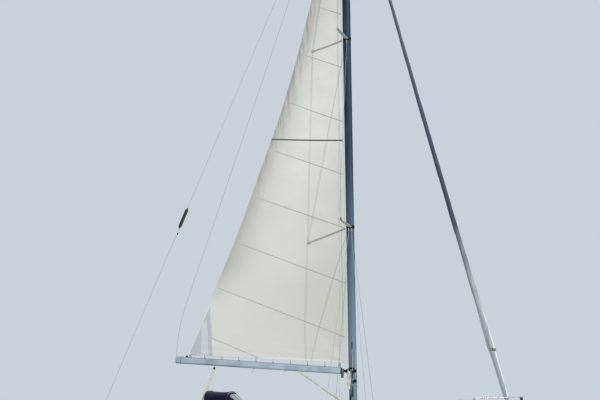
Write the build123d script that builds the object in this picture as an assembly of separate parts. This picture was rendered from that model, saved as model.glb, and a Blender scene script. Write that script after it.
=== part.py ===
from build123d import *
import math
import os

os.makedirs("parts", exist_ok=True)

# Sailing yacht, a masthead sloop about 10.2 m long with its mainsail set and headsail furled.
# Millimetres. +X forward, +Y to port, +Z up. The origin is on the centreline at the waterline,
# below the heel of the mast.

# Hull
DECK_EDGE_Z = 1210.0
SHEER_SLOPE = 0.0277
DECK_THICKNESS = 45.0
DECK_CAMBER = 0.045
HULL_WALL = 55.0
SOLE_Z = -150.0
CABIN_AFT_X = -2900.0
CABIN_FORE_X = 1950.0

# Keel, rudder and drive
KEEL_SEAT_Z = -620.0
KEEL_FOOT_Z = -1800.0
KEEL_ROOT = (500.0, -1500.0, 190.0)
KEEL_TIP = (-150.0, -1450.0, 130.0)
RUDDER_STOCK_X = -5250.0
RUDDER_STOCK_R = 30.0
RUDDER_TOP_Z = -130.0
RUDDER_FOOT_Z = -1430.0
BEARING_CLEARANCE = 0.06
DRIVE_X = -3450.0
DRIVE_SEAT_Z = -380.0
PROPELLER_Z = -690.0
PROPELLER_R = 210.0

# Coachroof
ROOF_WALL = 25.0
ROOF_FLANGE = 30.0
WINDOW_PANE = 8.0
PANE_GAP = 0.3
DOORWAY_HALF = 310.0
DOORWAY_SILL_Z = 1010.0

# Cockpit
COCKPIT_AFT_X = -5470.0
COCKPIT_FORE_X = -2980.0
COCKPIT_HALF = 1000.0
TUB_WALL = 20.0
SEAT_Z = 960.0
WELL_HALF = 420.0
WELL_SOLE_Z = 600.0
LOCKER_X = (-4700.0, -4050.0)
LOCKER_Y = (520.0, 900.0)
LOCKER_FLOOR_Z = 420.0
LID_LAP = 25.0
LID_THICKNESS = 16.0
LID_SEAT_GAP = 0.5

# Mast and boom
MAST_RAKE = 0.95
MAST_STEP_Z = 1625.0
MAST_TOP_Z = 14560.0
MAST_FORE_AFT = 185.0
MAST_WIDTH = 122.0
MAST_WALL = 4.0
BOOM_PIN_AFT = 42.0
BOOM_PIN_Z = 2563.0
BOOM_RISE = 3.8
BOOM_START = 138.0
BOOM_LENGTH = 3990.0
BOOM_HEIGHT = 155.0
BOOM_WIDTH = 96.0
BOOM_WALL = 3.5
BOOM_CAP = 120.0
PIN_R = 8.0
PIN_CLEARANCE = 0.06

# Spreaders and standing rigging
UPPER_SPREADER_Z = 10267.0
LOWER_SPREADER_Z = 5889.0
UPPER_SPREADER_TIP_Y = 940.0
LOWER_SPREADER_TIP_Y = 1100.0
SPREADER_SWEEP = 8.5
SPREADER_RISE = 6.5
BRACKET_HEIGHT = 70.0
SPREADER_EYE_R = 20.0
SPREADER_EYE_HEIGHT = 34.0
WIRE_R = 4.0
TURNBUCKLE_R = 11.0
TURNBUCKLE_LENGTH = 300.0
FORESTAY_FOOT_X = 3690.0
BACKSTAY_FOOT_X = -6060.0
CAP_CHAINPLATE_X = -200.0
LOWER_CHAINPLATE_DX = 380.0
CHAINPLATE_Y = 1400.0
CHAINPLATE_THICKNESS = 8.0

# Sails
SAIL_THICKNESS = 8.0
LUFF_GAP = 18.0
GENOA_TOP_Z = 13600.0
GENOA_FOOT_Z = 1900.0
FORESTAY_R = 5.0
FORESTAY_GAP = 0.3


def save(name, *solids):
    """Write one node from its solids."""
    shapes = []
    for shape in solids:
        shapes.extend(shape.solids())
    export_step(Compound(children=shapes), os.path.join("parts", name + ".step"))


def block(x0, x1, y0, y1, z0, z1):
    """Square block between two corners."""
    return Pos((x0 + x1) / 2, (y0 + y1) / 2, (z0 + z1) / 2) * Box(x1 - x0, y1 - y0, z1 - z0)


def rod(start, end, radius):
    """Round bar from one point to another."""
    span = Vector(*end) - Vector(*start)
    return Solid.make_cylinder(radius, span.length, Plane(origin=start, z_dir=span))


def point_on(start, end, share):
    """Point a given share of the way from start to end."""
    return tuple(a + (b - a) * share for a, b in zip(start, end))


def sheer(x):
    """Height of the deck edge."""
    return DECK_EDGE_Z + SHEER_SLOPE * x


# Hull sections from stern to bow. Columns: x at the deck, x at the keel line, half beam,
# bilge half width, bilge height, keel line height, bulge of the topside, bulge of the floor
HULL_SECTIONS = (
    (-6150.0, -6330.0, 1060.0, 900.0, 330.0, 130.0, 25.0, 40.0),
    (-4600.0, -4640.0, 1440.0, 1200.0, 150.0, -150.0, 45.0, 60.0),
    (-2400.0, -2400.0, 1640.0, 1360.0, 10.0, -430.0, 60.0, 90.0),
    (-300.0, -300.0, 1610.0, 1300.0, -10.0, -490.0, 60.0, 90.0),
    (1500.0, 1350.0, 1230.0, 880.0, 0.0, -400.0, 40.0, 60.0),
    (2900.0, 2350.0, 650.0, 330.0, 20.0, -230.0, 15.0, 30.0),
    (3950.0, 3080.0, 30.0, 22.0, 40.0, -110.0, 2.0, 2.0),
)


def bulged(first, last, bulge):
    """Middle point of an arc from first to last, pushed out by bulge; points are (y, z)."""
    dy = last[0] - first[0]
    dz = last[1] - first[1]
    length = math.hypot(dy, dz)
    return (
        (first[0] + last[0]) / 2 - dz / length * bulge,
        (first[1] + last[1]) / 2 + dy / length * bulge,
    )


def hull_wire(deck_x, keel_x, half_beam, bilge_y, bilge_z, keel_z, side_bulge, floor_bulge):
    """One hull section, on a plane that leans from the deck to the keel line."""
    deck_z = sheer(deck_x)
    edge = (half_beam, deck_z)
    bilge = (bilge_y, bilge_z)
    keel = (0.0, keel_z)
    side = bulged(edge, bilge, side_bulge)
    floor = bulged(bilge, keel, floor_bulge)

    def place(point, hand):
        share = (deck_z - point[1]) / (deck_z - keel_z)
        return (deck_x + (keel_x - deck_x) * share, hand * point[0], point[1])

    crown = (0.0, deck_z + DECK_CAMBER * half_beam)
    edges = [
        Edge.make_three_point_arc(place(edge, -1), place(crown, 1), place(edge, 1)),
        Edge.make_three_point_arc(place(edge, 1), place(side, 1), place(bilge, 1)),
        Edge.make_three_point_arc(place(bilge, 1), place(floor, 1), place(keel, 1)),
        Edge.make_three_point_arc(place(keel, 1), place(floor, -1), place(bilge, -1)),
        Edge.make_three_point_arc(place(bilge, -1), place(side, -1), place(edge, -1)),
    ]
    return Wire(edges)


def hull_form(inset=0.0):
    """Closed hull with its cambered deck, or the space inside a wall of that thickness."""
    wires = []
    for deck_x, keel_x, beam, bilge_y, bilge_z, keel_z, side, floor in HULL_SECTIONS:
        wires.append(
            hull_wire(
                deck_x,
                keel_x,
                max(beam - inset, 5.0),
                max(bilge_y - inset, 4.0),
                bilge_z + inset,
                keel_z + inset,
                side,
                floor,
            )
        )
    return Solid.make_loft(wires)


def foil_wire(nose_x, tail_x, thickness, z):
    """Foil outline at one height: a round nose, two arced sides and a thin tail."""
    chord = nose_x - tail_x
    nose = (nose_x, 0.0, z)
    shoulder_x = nose_x - 0.04 * chord
    widest_x = nose_x - 0.40 * chord
    shoulder = 0.27 * thickness
    half = thickness / 2
    tail = 3.0
    edges = [
        Edge.make_three_point_arc((shoulder_x, -shoulder, z), nose, (shoulder_x, shoulder, z)),
        Edge.make_three_point_arc(
            (shoulder_x, shoulder, z), (widest_x, half, z), (tail_x, tail, z)
        ),
        Edge.make_line((tail_x, tail, z), (tail_x, -tail, z)),
        Edge.make_three_point_arc(
            (tail_x, -tail, z), (widest_x, -half, z), (shoulder_x, -shoulder, z)
        ),
    ]
    return Wire(edges)


def foil(root, root_z, tip, tip_z):
    """Tapered foil between two outlines given as (nose x, tail x, thickness)."""
    return Solid.make_loft([foil_wire(*root, root_z), foil_wire(*tip, tip_z)], ruled=True)


# Coachroof sections from aft to forward. Columns: x, half width at the deck, half width at the
# top, height of the side's top, rise of the crown
ROOF_SECTIONS = (
    (COCKPIT_FORE_X, 1090.0, 965.0, 1555.0, 60.0),
    (-1400.0, 1080.0, 940.0, 1560.0, 62.0),
    (0.0, 930.0, 800.0, 1530.0, 52.0),
    (1200.0, 700.0, 570.0, 1440.0, 40.0),
    (2300.0, 420.0, 330.0, 1270.0, 18.0),
)


def roof_form(inset=0.0, drop=0.0):
    """Coachroof as a solid, or the space inside a wall of the given thickness."""
    wires = []
    for index, (x, half_base, half_top, side_z, crown) in enumerate(ROOF_SECTIONS):
        if index == 0:
            x = x + inset
        if index == len(ROOF_SECTIONS) - 1:
            x = x - inset
        base_z = sheer(x) - DECK_THICKNESS - drop
        top_z = max(side_z - inset, base_z + 40.0)
        base = half_base - inset
        top = half_top - inset
        edges = [
            Edge.make_line((x, base, base_z), (x, top, top_z)),
            Edge.make_three_point_arc((x, top, top_z), (x, 0, top_z + crown), (x, -top, top_z)),
            Edge.make_line((x, -top, top_z), (x, -base, base_z)),
            Edge.make_line((x, -base, base_z), (x, base, base_z)),
        ]
        wires.append(Wire(edges))
    return Solid.make_loft(wires)


# Side windows. Columns: aft x, forward x, lower z, upper z
WINDOWS = (
    (-2500.0, -1650.0, 1345.0, 1480.0),
    (-1500.0, -650.0, 1340.0, 1475.0),
    (-450.0, 250.0, 1335.0, 1455.0),
)


def window_prisms(shrink=0.0):
    """Rounded bars across the boat that cut the windows."""
    bars = []
    for aft_x, fore_x, low_z, high_z in WINDOWS:
        outline = SlotOverall(fore_x - aft_x - 2 * shrink, high_z - low_z - 2 * shrink)
        place = Plane(
            origin=((aft_x + fore_x) / 2, 1400, (low_z + high_z) / 2),
            x_dir=(1, 0, 0),
            z_dir=(0, -1, 0),
        )
        bars.append(extrude(place * outline, 2800))
    return bars


MAST = Plane(
    origin=(0, 0, MAST_STEP_Z),
    x_dir=(math.cos(math.radians(MAST_RAKE)), 0, math.sin(math.radians(MAST_RAKE))),
    z_dir=(-math.sin(math.radians(MAST_RAKE)), 0, math.cos(math.radians(MAST_RAKE))),
)


def mast_x(z):
    """Mast centre at a height."""
    return -(z - MAST_STEP_Z) * math.tan(math.radians(MAST_RAKE))


def mast_run(z):
    """Distance along the mast from its heel to a height."""
    return (z - MAST_STEP_Z) / math.cos(math.radians(MAST_RAKE))


PIN_X = mast_x(BOOM_PIN_Z) - MAST_FORE_AFT / 2 - BOOM_PIN_AFT


def pin_x(z):
    """The boom's hinge line at a height; it runs parallel to the mast."""
    return PIN_X - (z - BOOM_PIN_Z) * math.tan(math.radians(MAST_RAKE))


def luff_x(z):
    """The mainsail's front edge at a height."""
    return mast_x(z) - MAST_FORE_AFT / 2 - LUFF_GAP


# The boom's own plane: x runs aft along the boom, z up across it.
BOOM = Plane(
    origin=(PIN_X, 0, BOOM_PIN_Z),
    x_dir=(-math.cos(math.radians(BOOM_RISE)), 0, math.sin(math.radians(BOOM_RISE))),
    z_dir=(math.sin(math.radians(BOOM_RISE)), 0, math.cos(math.radians(BOOM_RISE))),
)


def spreader_tip(root_z, reach, hand):
    """Outer end of a spreader that reaches out to a half width, on one side."""
    out = reach / math.cos(math.radians(SPREADER_SWEEP))
    return (
        mast_x(root_z) - reach * math.tan(math.radians(SPREADER_SWEEP)),
        hand * reach,
        root_z + out * math.tan(math.radians(SPREADER_RISE)),
    )


# Hull, deck and cockpit


def above_deck_plane():
    """Everything above the joint between the hull and the deck moulding."""
    joint = Plane(
        origin=(0, 0, DECK_EDGE_Z - DECK_THICKNESS),
        x_dir=(1, 0, SHEER_SLOPE),
        z_dir=(-SHEER_SLOPE, 0, 1),
    )
    return joint * Box(20000, 6000, 2000, align=(Align.CENTER, Align.CENTER, Align.MIN))


def tub_outer():
    upper = block(
        COCKPIT_AFT_X,
        COCKPIT_FORE_X,
        -COCKPIT_HALF,
        COCKPIT_HALF,
        SEAT_Z - TUB_WALL,
        2000.0,
    )
    well = block(
        COCKPIT_AFT_X + 120.0,
        COCKPIT_FORE_X,
        -WELL_HALF - TUB_WALL,
        WELL_HALF + TUB_WALL,
        WELL_SOLE_Z - TUB_WALL,
        SEAT_Z,
    )
    return upper + well


def locker_blocks(z0, z1, lap=0.0):
    """Locker shapes under the two cockpit seats, starboard then port."""
    shapes = []
    for hand in (-1, 1):
        y0, y1 = sorted((hand * (LOCKER_Y[0] - lap), hand * (LOCKER_Y[1] + lap)))
        shapes.append(block(LOCKER_X[0] - lap, LOCKER_X[1] + lap, y0, y1, z0, z1))
    return shapes


def doorway():
    """Companionway from the cockpit into the cabin."""
    return block(
        COCKPIT_FORE_X - 120, CABIN_AFT_X, -DOORWAY_HALF, DOORWAY_HALF, DOORWAY_SILL_Z, 1700
    )


ANCHOR_X = (2500.0, 3150.0)
ANCHOR_HALF = 210.0
ANCHOR_FLOOR_Z = 700.0


def make_hull():
    full = hull_form()
    keel_stub = foil(KEEL_ROOT, -250.0, KEEL_ROOT, KEEL_SEAT_Z)
    drive_pad = block(DRIVE_X - 190, DRIVE_X + 190, -95, 95, DRIVE_SEAT_Z, -200)
    hull = full + keel_stub + drive_pad
    hull = hull - above_deck_plane()
    cabin = hull_form(HULL_WALL) & block(CABIN_AFT_X, CABIN_FORE_X, -2000, 2000, SOLE_Z, 1600)
    hull = hull - cabin
    hull = hull - tub_outer()
    hull = hull - doorway()
    for locker in locker_blocks(LOCKER_FLOOR_Z, SEAT_Z):
        hull = hull - locker
    hull = hull - block(*ANCHOR_X, -ANCHOR_HALF, ANCHOR_HALF, ANCHOR_FLOOR_Z, 1600)
    hull = hull - Pos(RUDDER_STOCK_X, 0, -600) * Cylinder(
        RUDDER_STOCK_R + BEARING_CLEARANCE, 1140, align=(Align.CENTER, Align.CENTER, Align.MIN)
    )
    return hull


HATCH_X = (-3010.0, -2420.0)
HATCH_HALF = 360.0
HATCH_THICKNESS = 18.0
RUNNER_TOP_Z = 1640.0
GARAGE_X = (-2440.0, -1760.0)
GARAGE_HALF = 412.0
GARAGE_WALL = 12.0
GARAGE_RISE = 90.0
FORE_HATCH_X = (1050.0, 1550.0)
FORE_HATCH_HALF = 230.0
FORE_HATCH_SEAT_Z = 1500.0
LID_PAD_Z = 1345.0
STERN_PAD_Z = 1102.0
STEP_PAD_Z = MAST_STEP_Z - 20.0
STEM_PAD_X = (3500.0, 3840.0)
STEM_PAD_Z = 1335.0
WINCH_PAD_Z = 1602.0


def chainplate_feet():
    """Feet of the shroud chainplates. Columns: x, half width"""
    return (
        (CAP_CHAINPLATE_X, CHAINPLATE_Y),
        (CAP_CHAINPLATE_X - LOWER_CHAINPLATE_DX, CHAINPLATE_Y),
        (CAP_CHAINPLATE_X + LOWER_CHAINPLATE_DX + 250.0, CHAINPLATE_Y - 60.0),
    )


CHAINPLATE_EYE_Z = 1300.0


def chainplate_blocks():
    plates = []
    for x, y in chainplate_feet():
        for hand in (-1, 1):
            y0, y1 = sorted((hand * y - CHAINPLATE_THICKNESS / 2, hand * y + CHAINPLATE_THICKNESS / 2))
            plates.append(block(x - 25, x + 25, y0, y1, 1175.0, CHAINPLATE_EYE_Z + 20))
    return plates


def stanchion_feet():
    """Stanchions along each side. Columns: x, half width"""
    return (
        (2450.0, 800.0),
        (900.0, 1330.0),
        (-1100.0, 1560.0),
        (-2900.0, 1560.0),
        (-4400.0, 1380.0),
    )


# Feet of the bow and stern rails. Columns: x, half width, rise of the pad over the deck edge
RAIL_FEET = (
    (2700.0, 560.0, 30.0),
    (3330.0, 250.0, 30.0),
    (-5200.0, 1190.0, 30.0),
    (-6060.0, 300.0, 64.0),
)

STANCHION_FOOT_RISE = 30.0
STANCHION_HEIGHT = 600.0
STANCHION_R = 12.5


def deck_pads():
    """Flat pads for fittings. Columns: x, y, length along x, width, top height"""
    pads = []
    for x, y in stanchion_feet():
        for hand in (-1, 1):
            pads.append((x, hand * y, 90.0, 70.0, sheer(x) + STANCHION_FOOT_RISE))
    for x, y, rise in RAIL_FEET:
        for hand in (-1, 1):
            pads.append((x, hand * y, 80.0, 80.0, sheer(x) + rise))
    for x, y in CLEAT_FEET:
        for hand in (-1, 1):
            pads.append((x, hand * y, 260.0, 70.0, sheer(x) + STANCHION_FOOT_RISE))
    for hand in (-1, 1):
        pads.append((WINCHES[1][0], hand * WINCHES[1][1], 150.0, 150.0, WINCH_PAD_Z))
    return pads


CLEAT_FEET = (
    (3150.0, 300.0),
    (-600.0, 1480.0),
    (-5850.0, 880.0),
)


def roof_footing():
    """Everything over the coachroof's outline, where its moulding is bonded into the deck."""
    outline = []
    for x, half_base, half_top, side_z, crown in ROOF_SECTIONS:
        outline.append((x, half_base + ROOF_FLANGE))
    first, last = outline[0], outline[-1]
    outline[-1] = (last[0] + ROOF_FLANGE, last[1])
    outline[0] = (first[0] - ROOF_FLANGE, first[1])
    other_side = [(x, -half) for x, half in reversed(outline)]
    return extrude(Pos(0, 0, 900) * make_face(Polyline(*outline, *other_side, close=True)), 1100)


def make_deck():
    """Deck moulding and coachroof moulding."""
    deck = hull_form() & above_deck_plane()
    deck = deck + roof_form()
    # Flat pads for the mast heel, hatch runners, fore hatch frame and locker lid
    deck = deck + block(-170, 170, -130, 130, 1450, STEP_PAD_Z)
    for hand in (-1, 1):
        y0, y1 = sorted((hand * 335.0, hand * (GARAGE_HALF + 8.0)))
        deck = deck + block(HATCH_X[0] + 30, GARAGE_X[1] + 8.0, y0, y1, 1560, RUNNER_TOP_Z)
    deck = deck + block(
        FORE_HATCH_X[0] - 30,
        FORE_HATCH_X[1] + 30,
        -FORE_HATCH_HALF - 30,
        FORE_HATCH_HALF + 30,
        1350,
        FORE_HATCH_SEAT_Z,
    )
    deck = deck + block(
        ANCHOR_X[0] - 30, ANCHOR_X[1] + 30, -ANCHOR_HALF - 30, ANCHOR_HALF + 30, 1275, LID_PAD_Z
    )
    deck = deck + block(
        BACKSTAY_FOOT_X - 60, BACKSTAY_FOOT_X + 60, -60, 60, STERN_PAD_Z - 50, STERN_PAD_Z
    )
    deck = deck + block(*STEM_PAD_X, -40, 40, STEM_PAD_Z - 60, STEM_PAD_Z)
    for x, y, length, width, top in deck_pads():
        deck = deck + block(x - length / 2, x + length / 2, y - width / 2, y + width / 2, top - 50, top)
    deck = deck - (roof_form(ROOF_WALL, 30.0) & block(-6000, 1990, -2000, 2000, 900, 2000))
    for bar in window_prisms():
        deck = deck - bar
    deck = deck - doorway()
    deck = deck - block(-3100, HATCH_X[1] - 50.0, -325, 325, 1500, 1700)
    deck = deck - block(*FORE_HATCH_X, -FORE_HATCH_HALF, FORE_HATCH_HALF, 1200, 1700)
    deck = deck - block(*ANCHOR_X, -ANCHOR_HALF, ANCHOR_HALF, 900, 1700)
    deck = deck - tub_outer()
    for plate in chainplate_blocks():
        deck = deck - plate
    footing = roof_footing()
    return deck - footing, deck & footing


def make_cockpit():
    tub = tub_outer() - above_tub_top()
    tub = tub - block(
        COCKPIT_AFT_X + TUB_WALL,
        COCKPIT_FORE_X - TUB_WALL,
        -COCKPIT_HALF + TUB_WALL,
        COCKPIT_HALF - TUB_WALL,
        SEAT_Z,
        2000,
    )
    tub = tub - block(
        COCKPIT_AFT_X + 120 + TUB_WALL,
        COCKPIT_FORE_X - TUB_WALL,
        -WELL_HALF,
        WELL_HALF,
        WELL_SOLE_Z,
        2000,
    )
    tub = tub - doorway()
    for locker in locker_blocks(SEAT_Z - 200, SEAT_Z + 10):
        tub = tub - locker
    return tub


def above_tub_top():
    """The tub's rim lies level, just over the deck beside it."""
    return block(-7000, 0, -2000, 2000, TUB_RIM_Z, 2500)


TUB_RIM_Z = 1190.0
COAMING_TOP_Z = 1340.0


def make_coamings():
    """Raised cockpit sides that stand on the tub's rim and the side deck."""
    pieces = []
    for hand in (-1, 1):
        outline = [
            (COCKPIT_HALF - TUB_WALL, TUB_RIM_Z),
            (COCKPIT_HALF, TUB_RIM_Z),
            (COCKPIT_HALF + 130, TUB_RIM_Z),
            (COCKPIT_HALF + 100, COAMING_TOP_Z - 20),
            (COCKPIT_HALF + 70, COAMING_TOP_Z),
            (COCKPIT_HALF + 10, COAMING_TOP_Z),
            (COCKPIT_HALF - TUB_WALL, COAMING_TOP_Z - 40),
        ]
        profile = Plane(origin=(COCKPIT_AFT_X + 300, 0, 0), x_dir=(0, 1, 0), z_dir=(1, 0, 0))
        points = [(hand * y, z) for y, z in outline]
        sketch = profile * make_face(Polyline(*points, close=True))
        pieces.append(extrude(sketch, COCKPIT_FORE_X - COCKPIT_AFT_X - 300))
    return pieces


def make_keel():
    return foil(KEEL_ROOT, KEEL_SEAT_Z, KEEL_TIP, KEEL_FOOT_Z)


def make_rudder():
    """Spade rudder: blade and stock are one piece."""
    root = (RUDDER_STOCK_X + 130, RUDDER_STOCK_X - 430, 90.0)
    tip = (RUDDER_STOCK_X + 80, RUDDER_STOCK_X - 290, 60.0)
    blade = foil(root, RUDDER_TOP_Z, tip, RUDDER_FOOT_Z)
    stock = rod(
        (RUDDER_STOCK_X, 0, RUDDER_TOP_Z - 600), (RUDDER_STOCK_X, 0, 520), RUDDER_STOCK_R
    )
    return blade + stock


def make_saildrive_leg():
    root = (DRIVE_X + 150, DRIVE_X - 120, 90.0)
    tip = (DRIVE_X + 110, DRIVE_X - 90, 70.0)
    strut = foil(root, DRIVE_SEAT_Z, tip, PROPELLER_Z)
    gearcase = Plane(origin=(DRIVE_X + 140, 0, PROPELLER_Z), z_dir=(-1, 0, 0)) * Cylinder(
        52, 290, align=(Align.CENTER, Align.CENTER, Align.MIN)
    )
    nose = Pos(DRIVE_X + 140, 0, PROPELLER_Z) * Sphere(52)
    skeg = foil(
        (DRIVE_X + 90, DRIVE_X - 90, 24.0),
        PROPELLER_Z,
        (DRIVE_X + 20, DRIVE_X - 80, 16.0),
        PROPELLER_Z - 150,
    )
    leg = strut + gearcase + nose + skeg
    shaft = rod((DRIVE_X - 100, 0, PROPELLER_Z), (DRIVE_X - 270, 0, PROPELLER_Z), 12.0)
    return leg + shaft


PROPELLER_X = DRIVE_X - 160.0
PROPELLER_HUB = 100.0


def make_propeller():
    """Three-bladed propeller on its hub, bored for the shaft."""
    axis = Plane(origin=(PROPELLER_X, 0, PROPELLER_Z), z_dir=(-1, 0, 0))
    hub = axis * Cylinder(40, PROPELLER_HUB, align=(Align.CENTER, Align.CENTER, Align.MIN))
    prop = hub
    for turn in range(3):
        blade_root = Wire.make_polygon([(-45, -4, 0), (45, -4, 0), (45, 4, 0), (-45, 4, 0)])
        blade_tip = Wire.make_polygon([(-60, -2, 0), (60, -2, 0), (60, 2, 0), (-60, 2, 0)])
        root = Pos(0, 0, 25) * Rot(0, 0, 35) * blade_root
        tip = Pos(0, 0, PROPELLER_R) * Rot(0, 0, 22) * blade_tip
        blade = Solid.make_loft([root, tip], ruled=True)
        place = Location((PROPELLER_X - PROPELLER_HUB / 2, 0, PROPELLER_Z)) * Location(
            (0, 0, 0), (120 * turn, 0, 0)
        )
        prop = prop + place * blade
    bore = axis * Cylinder(
        12 + PIN_CLEARANCE, PROPELLER_HUB + 400, align=(Align.CENTER, Align.CENTER, Align.CENTER)
    )
    return prop - bore


def make_engine():
    return block(-2800, -2150, -230, 230, SOLE_Z, 430)


def make_windows():
    skin = roof_form(6.0, -10.0) - roof_form(6.0 + WINDOW_PANE, 0.0)
    panes = []
    for bar in window_prisms(PANE_GAP):
        panes.extend((skin & bar).solids())
    return panes


# Mast, spreaders and boom


def make_mast():
    outer = Ellipse(MAST_FORE_AFT / 2, MAST_WIDTH / 2)
    inner = Ellipse(MAST_FORE_AFT / 2 - MAST_WALL, MAST_WIDTH / 2 - MAST_WALL)
    groove_x = -MAST_FORE_AFT / 2 + 14
    boss = (Pos(groove_x, 0) * Rectangle(30, 26)) & outer
    groove = Pos(groove_x, 0) * Circle(7)
    slot = Pos(groove_x - 15, 0) * Rectangle(30, 5)
    profile = (outer - inner) + boss - groove - slot
    return extrude(MAST * profile, mast_run(MAST_TOP_Z))


def make_mast_step():
    body = block(-150, 150, -100, 100, STEP_PAD_Z, MAST_STEP_Z + 100)
    top = MAST * Box(2000, 2000, 2000, align=(Align.CENTER, Align.CENTER, Align.MIN))
    return body - top


def make_masthead():
    """Cap and crane on the mast's top, with the sheave cheeks fore and aft."""
    head = Plane(
        origin=MAST.from_local_coords((0, 0, mast_run(MAST_TOP_Z))),
        x_dir=MAST.x_dir,
        z_dir=MAST.z_dir,
    )
    cap = extrude(head * Ellipse(MAST_FORE_AFT / 2 + 4, MAST_WIDTH / 2 + 4), CRANE_UNDERSIDE)
    ears = extrude(head * Rectangle(60, MAST_WIDTH + 60), CRANE_UNDERSIDE)
    crane = head * (Pos(-15, 0, CRANE_UNDERSIDE + 20) * Box(MAST_FORE_AFT + 190, 46, 40))
    return cap + ears + crane


def collar(root_z):
    """Band round the mast with a flat pad on each side for the spreader's root."""
    level = Plane(
        origin=MAST.from_local_coords((0, 0, mast_run(root_z) - BRACKET_HEIGHT / 2)),
        x_dir=MAST.x_dir,
        z_dir=MAST.z_dir,
    )
    gap = 0.3
    outer = Ellipse(MAST_FORE_AFT / 2 + 7, MAST_WIDTH / 2 + 7)
    inner = Ellipse(MAST_FORE_AFT / 2 + gap, MAST_WIDTH / 2 + gap)
    pads = Rectangle(2 * SPREADER_ROOT[0] + 8, MAST_WIDTH + 30)
    slot = Pos(-MAST_FORE_AFT / 2, 0) * Rectangle(60, 50)
    return extrude(level * ((outer + pads) - inner - slot), BRACKET_HEIGHT)


SPREADER_START_Y = MAST_WIDTH / 2 + 15.3
SPREADER_ROOT = (52.0, 17.0)
SPREADER_END = (37.0, 12.0)


def make_spreader(root_z, reach, hand):
    """Tapered spreader from its bracket to the tip, with an eye for the shroud."""
    tip = spreader_tip(root_z, reach, hand)
    start = (mast_x(root_z), hand * 0.0, root_z)
    share = SPREADER_START_Y / reach
    root = point_on(start, tip, share)
    direction = Vector(*tip) - Vector(*start)
    end = point_on(start, tip, 1 - 14.0 / direction.length)
    across = Vector(0, 0, 1).cross(direction)
    root_plane = Plane(origin=root, x_dir=(1, 0, 0), z_dir=(0, hand, 0))
    end_plane = Plane(origin=end, x_dir=across, z_dir=direction)
    root_wire = (root_plane * Ellipse(*SPREADER_ROOT)).wire()
    end_wire = (end_plane * Ellipse(*SPREADER_END)).wire()
    arm = Solid.make_loft([root_wire, end_wire], ruled=True)
    hole = Pos(*tip) * Cylinder(SPREADER_EYE_R * 0.4, 2 * SPREADER_EYE_HEIGHT)
    return arm + Pos(*tip) * Cylinder(SPREADER_EYE_R, SPREADER_EYE_HEIGHT) - hole


def upper_tip(hand):
    return spreader_tip(UPPER_SPREADER_Z, UPPER_SPREADER_TIP_Y, hand)


def lower_tip(hand):
    return spreader_tip(LOWER_SPREADER_Z, LOWER_SPREADER_TIP_Y, hand)


TOGGLE_CHEEK = 6.0
TOGGLE_RISE = 40.0
TERMINAL_R = 9.0


def joint_ball(point, radius=WIRE_R):
    """Small ball that joins two lengths of wire at a bend."""
    return Pos(*point) * Sphere(radius)


def toggle(eye, half_plate, head):
    """Two cheeks on a tang's flat sides, their pin's place, and the turnbuckle above them."""
    length = (Vector(*head) - Vector(*eye)).length
    x, y, z = eye
    body = rod(
        point_on(eye, head, TOGGLE_RISE / length),
        point_on(eye, head, (TOGGLE_RISE + TURNBUCKLE_LENGTH) / length),
        TURNBUCKLE_R,
    )
    for hand in (-1, 1):
        y0, y1 = sorted((y + hand * half_plate, y + hand * (half_plate + TOGGLE_CHEEK)))
        body = body + block(x - 14, x + 14, y0, y1, z - 18, z + TOGGLE_RISE + 22)
    return body


def hanger(point, ceiling_run):
    """Terminal from a wire's upper end straight up to a flat face across the mast's axis."""
    low = MAST.to_local_coords(Vector(*point))
    high = MAST.from_local_coords((low.X, low.Y, ceiling_run))
    return rod(point, tuple(high), TERMINAL_R)


def below_bracket(root_z, hand, forward=0.0, drop=60.0):
    """Wire end beside the mast, below a spreader bracket."""
    run = mast_run(root_z) - BRACKET_HEIGHT / 2 - drop
    return tuple(MAST.from_local_coords((forward, hand * (MAST_WIDTH / 2 + 12.0), run)))


def make_cap_shrouds():
    """One wire a side from the chainplate over both spreader tips to the masthead."""
    pieces = []
    top = mast_run(MAST_TOP_Z)
    for hand in (-1, 1):
        eye = (CAP_CHAINPLATE_X, hand * CHAINPLATE_Y, CHAINPLATE_EYE_Z)
        low = lower_tip(hand)
        high = upper_tip(hand)
        head = tuple(MAST.from_local_coords((0, hand * (MAST_WIDTH / 2 + 14.0), top - 60.0)))
        length = (Vector(*low) - Vector(*eye)).length
        shroud = toggle(eye, CHAINPLATE_THICKNESS / 2, low)
        shroud = shroud + rod(point_on(eye, low, TOGGLE_RISE / length), low, WIRE_R)
        shroud = shroud + joint_ball(low) + rod(low, high, WIRE_R)
        shroud = shroud + joint_ball(high) + rod(high, head, WIRE_R)
        shroud = shroud + joint_ball(head, TERMINAL_R) + hanger(head, top)
        pieces.append(shroud)
    return pieces


def make_intermediate_shrouds():
    """From each lower spreader's tip up to the root of the upper one."""
    pieces = []
    ceiling = mast_run(UPPER_SPREADER_Z) - BRACKET_HEIGHT / 2
    for hand in (-1, 1):
        x, y, z = lower_tip(hand)
        y = y - hand * SPREADER_EYE_R * 0.7
        seat = (x, y, z + SPREADER_EYE_HEIGHT / 2)
        foot = (x, y, seat[2] + 12.0)
        head = below_bracket(UPPER_SPREADER_Z, hand)
        wire = rod(seat, foot, WIRE_R) + joint_ball(foot) + rod(foot, head, WIRE_R)
        pieces.append(wire + joint_ball(head, TERMINAL_R) + hanger(head, ceiling))
    return pieces


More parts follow.
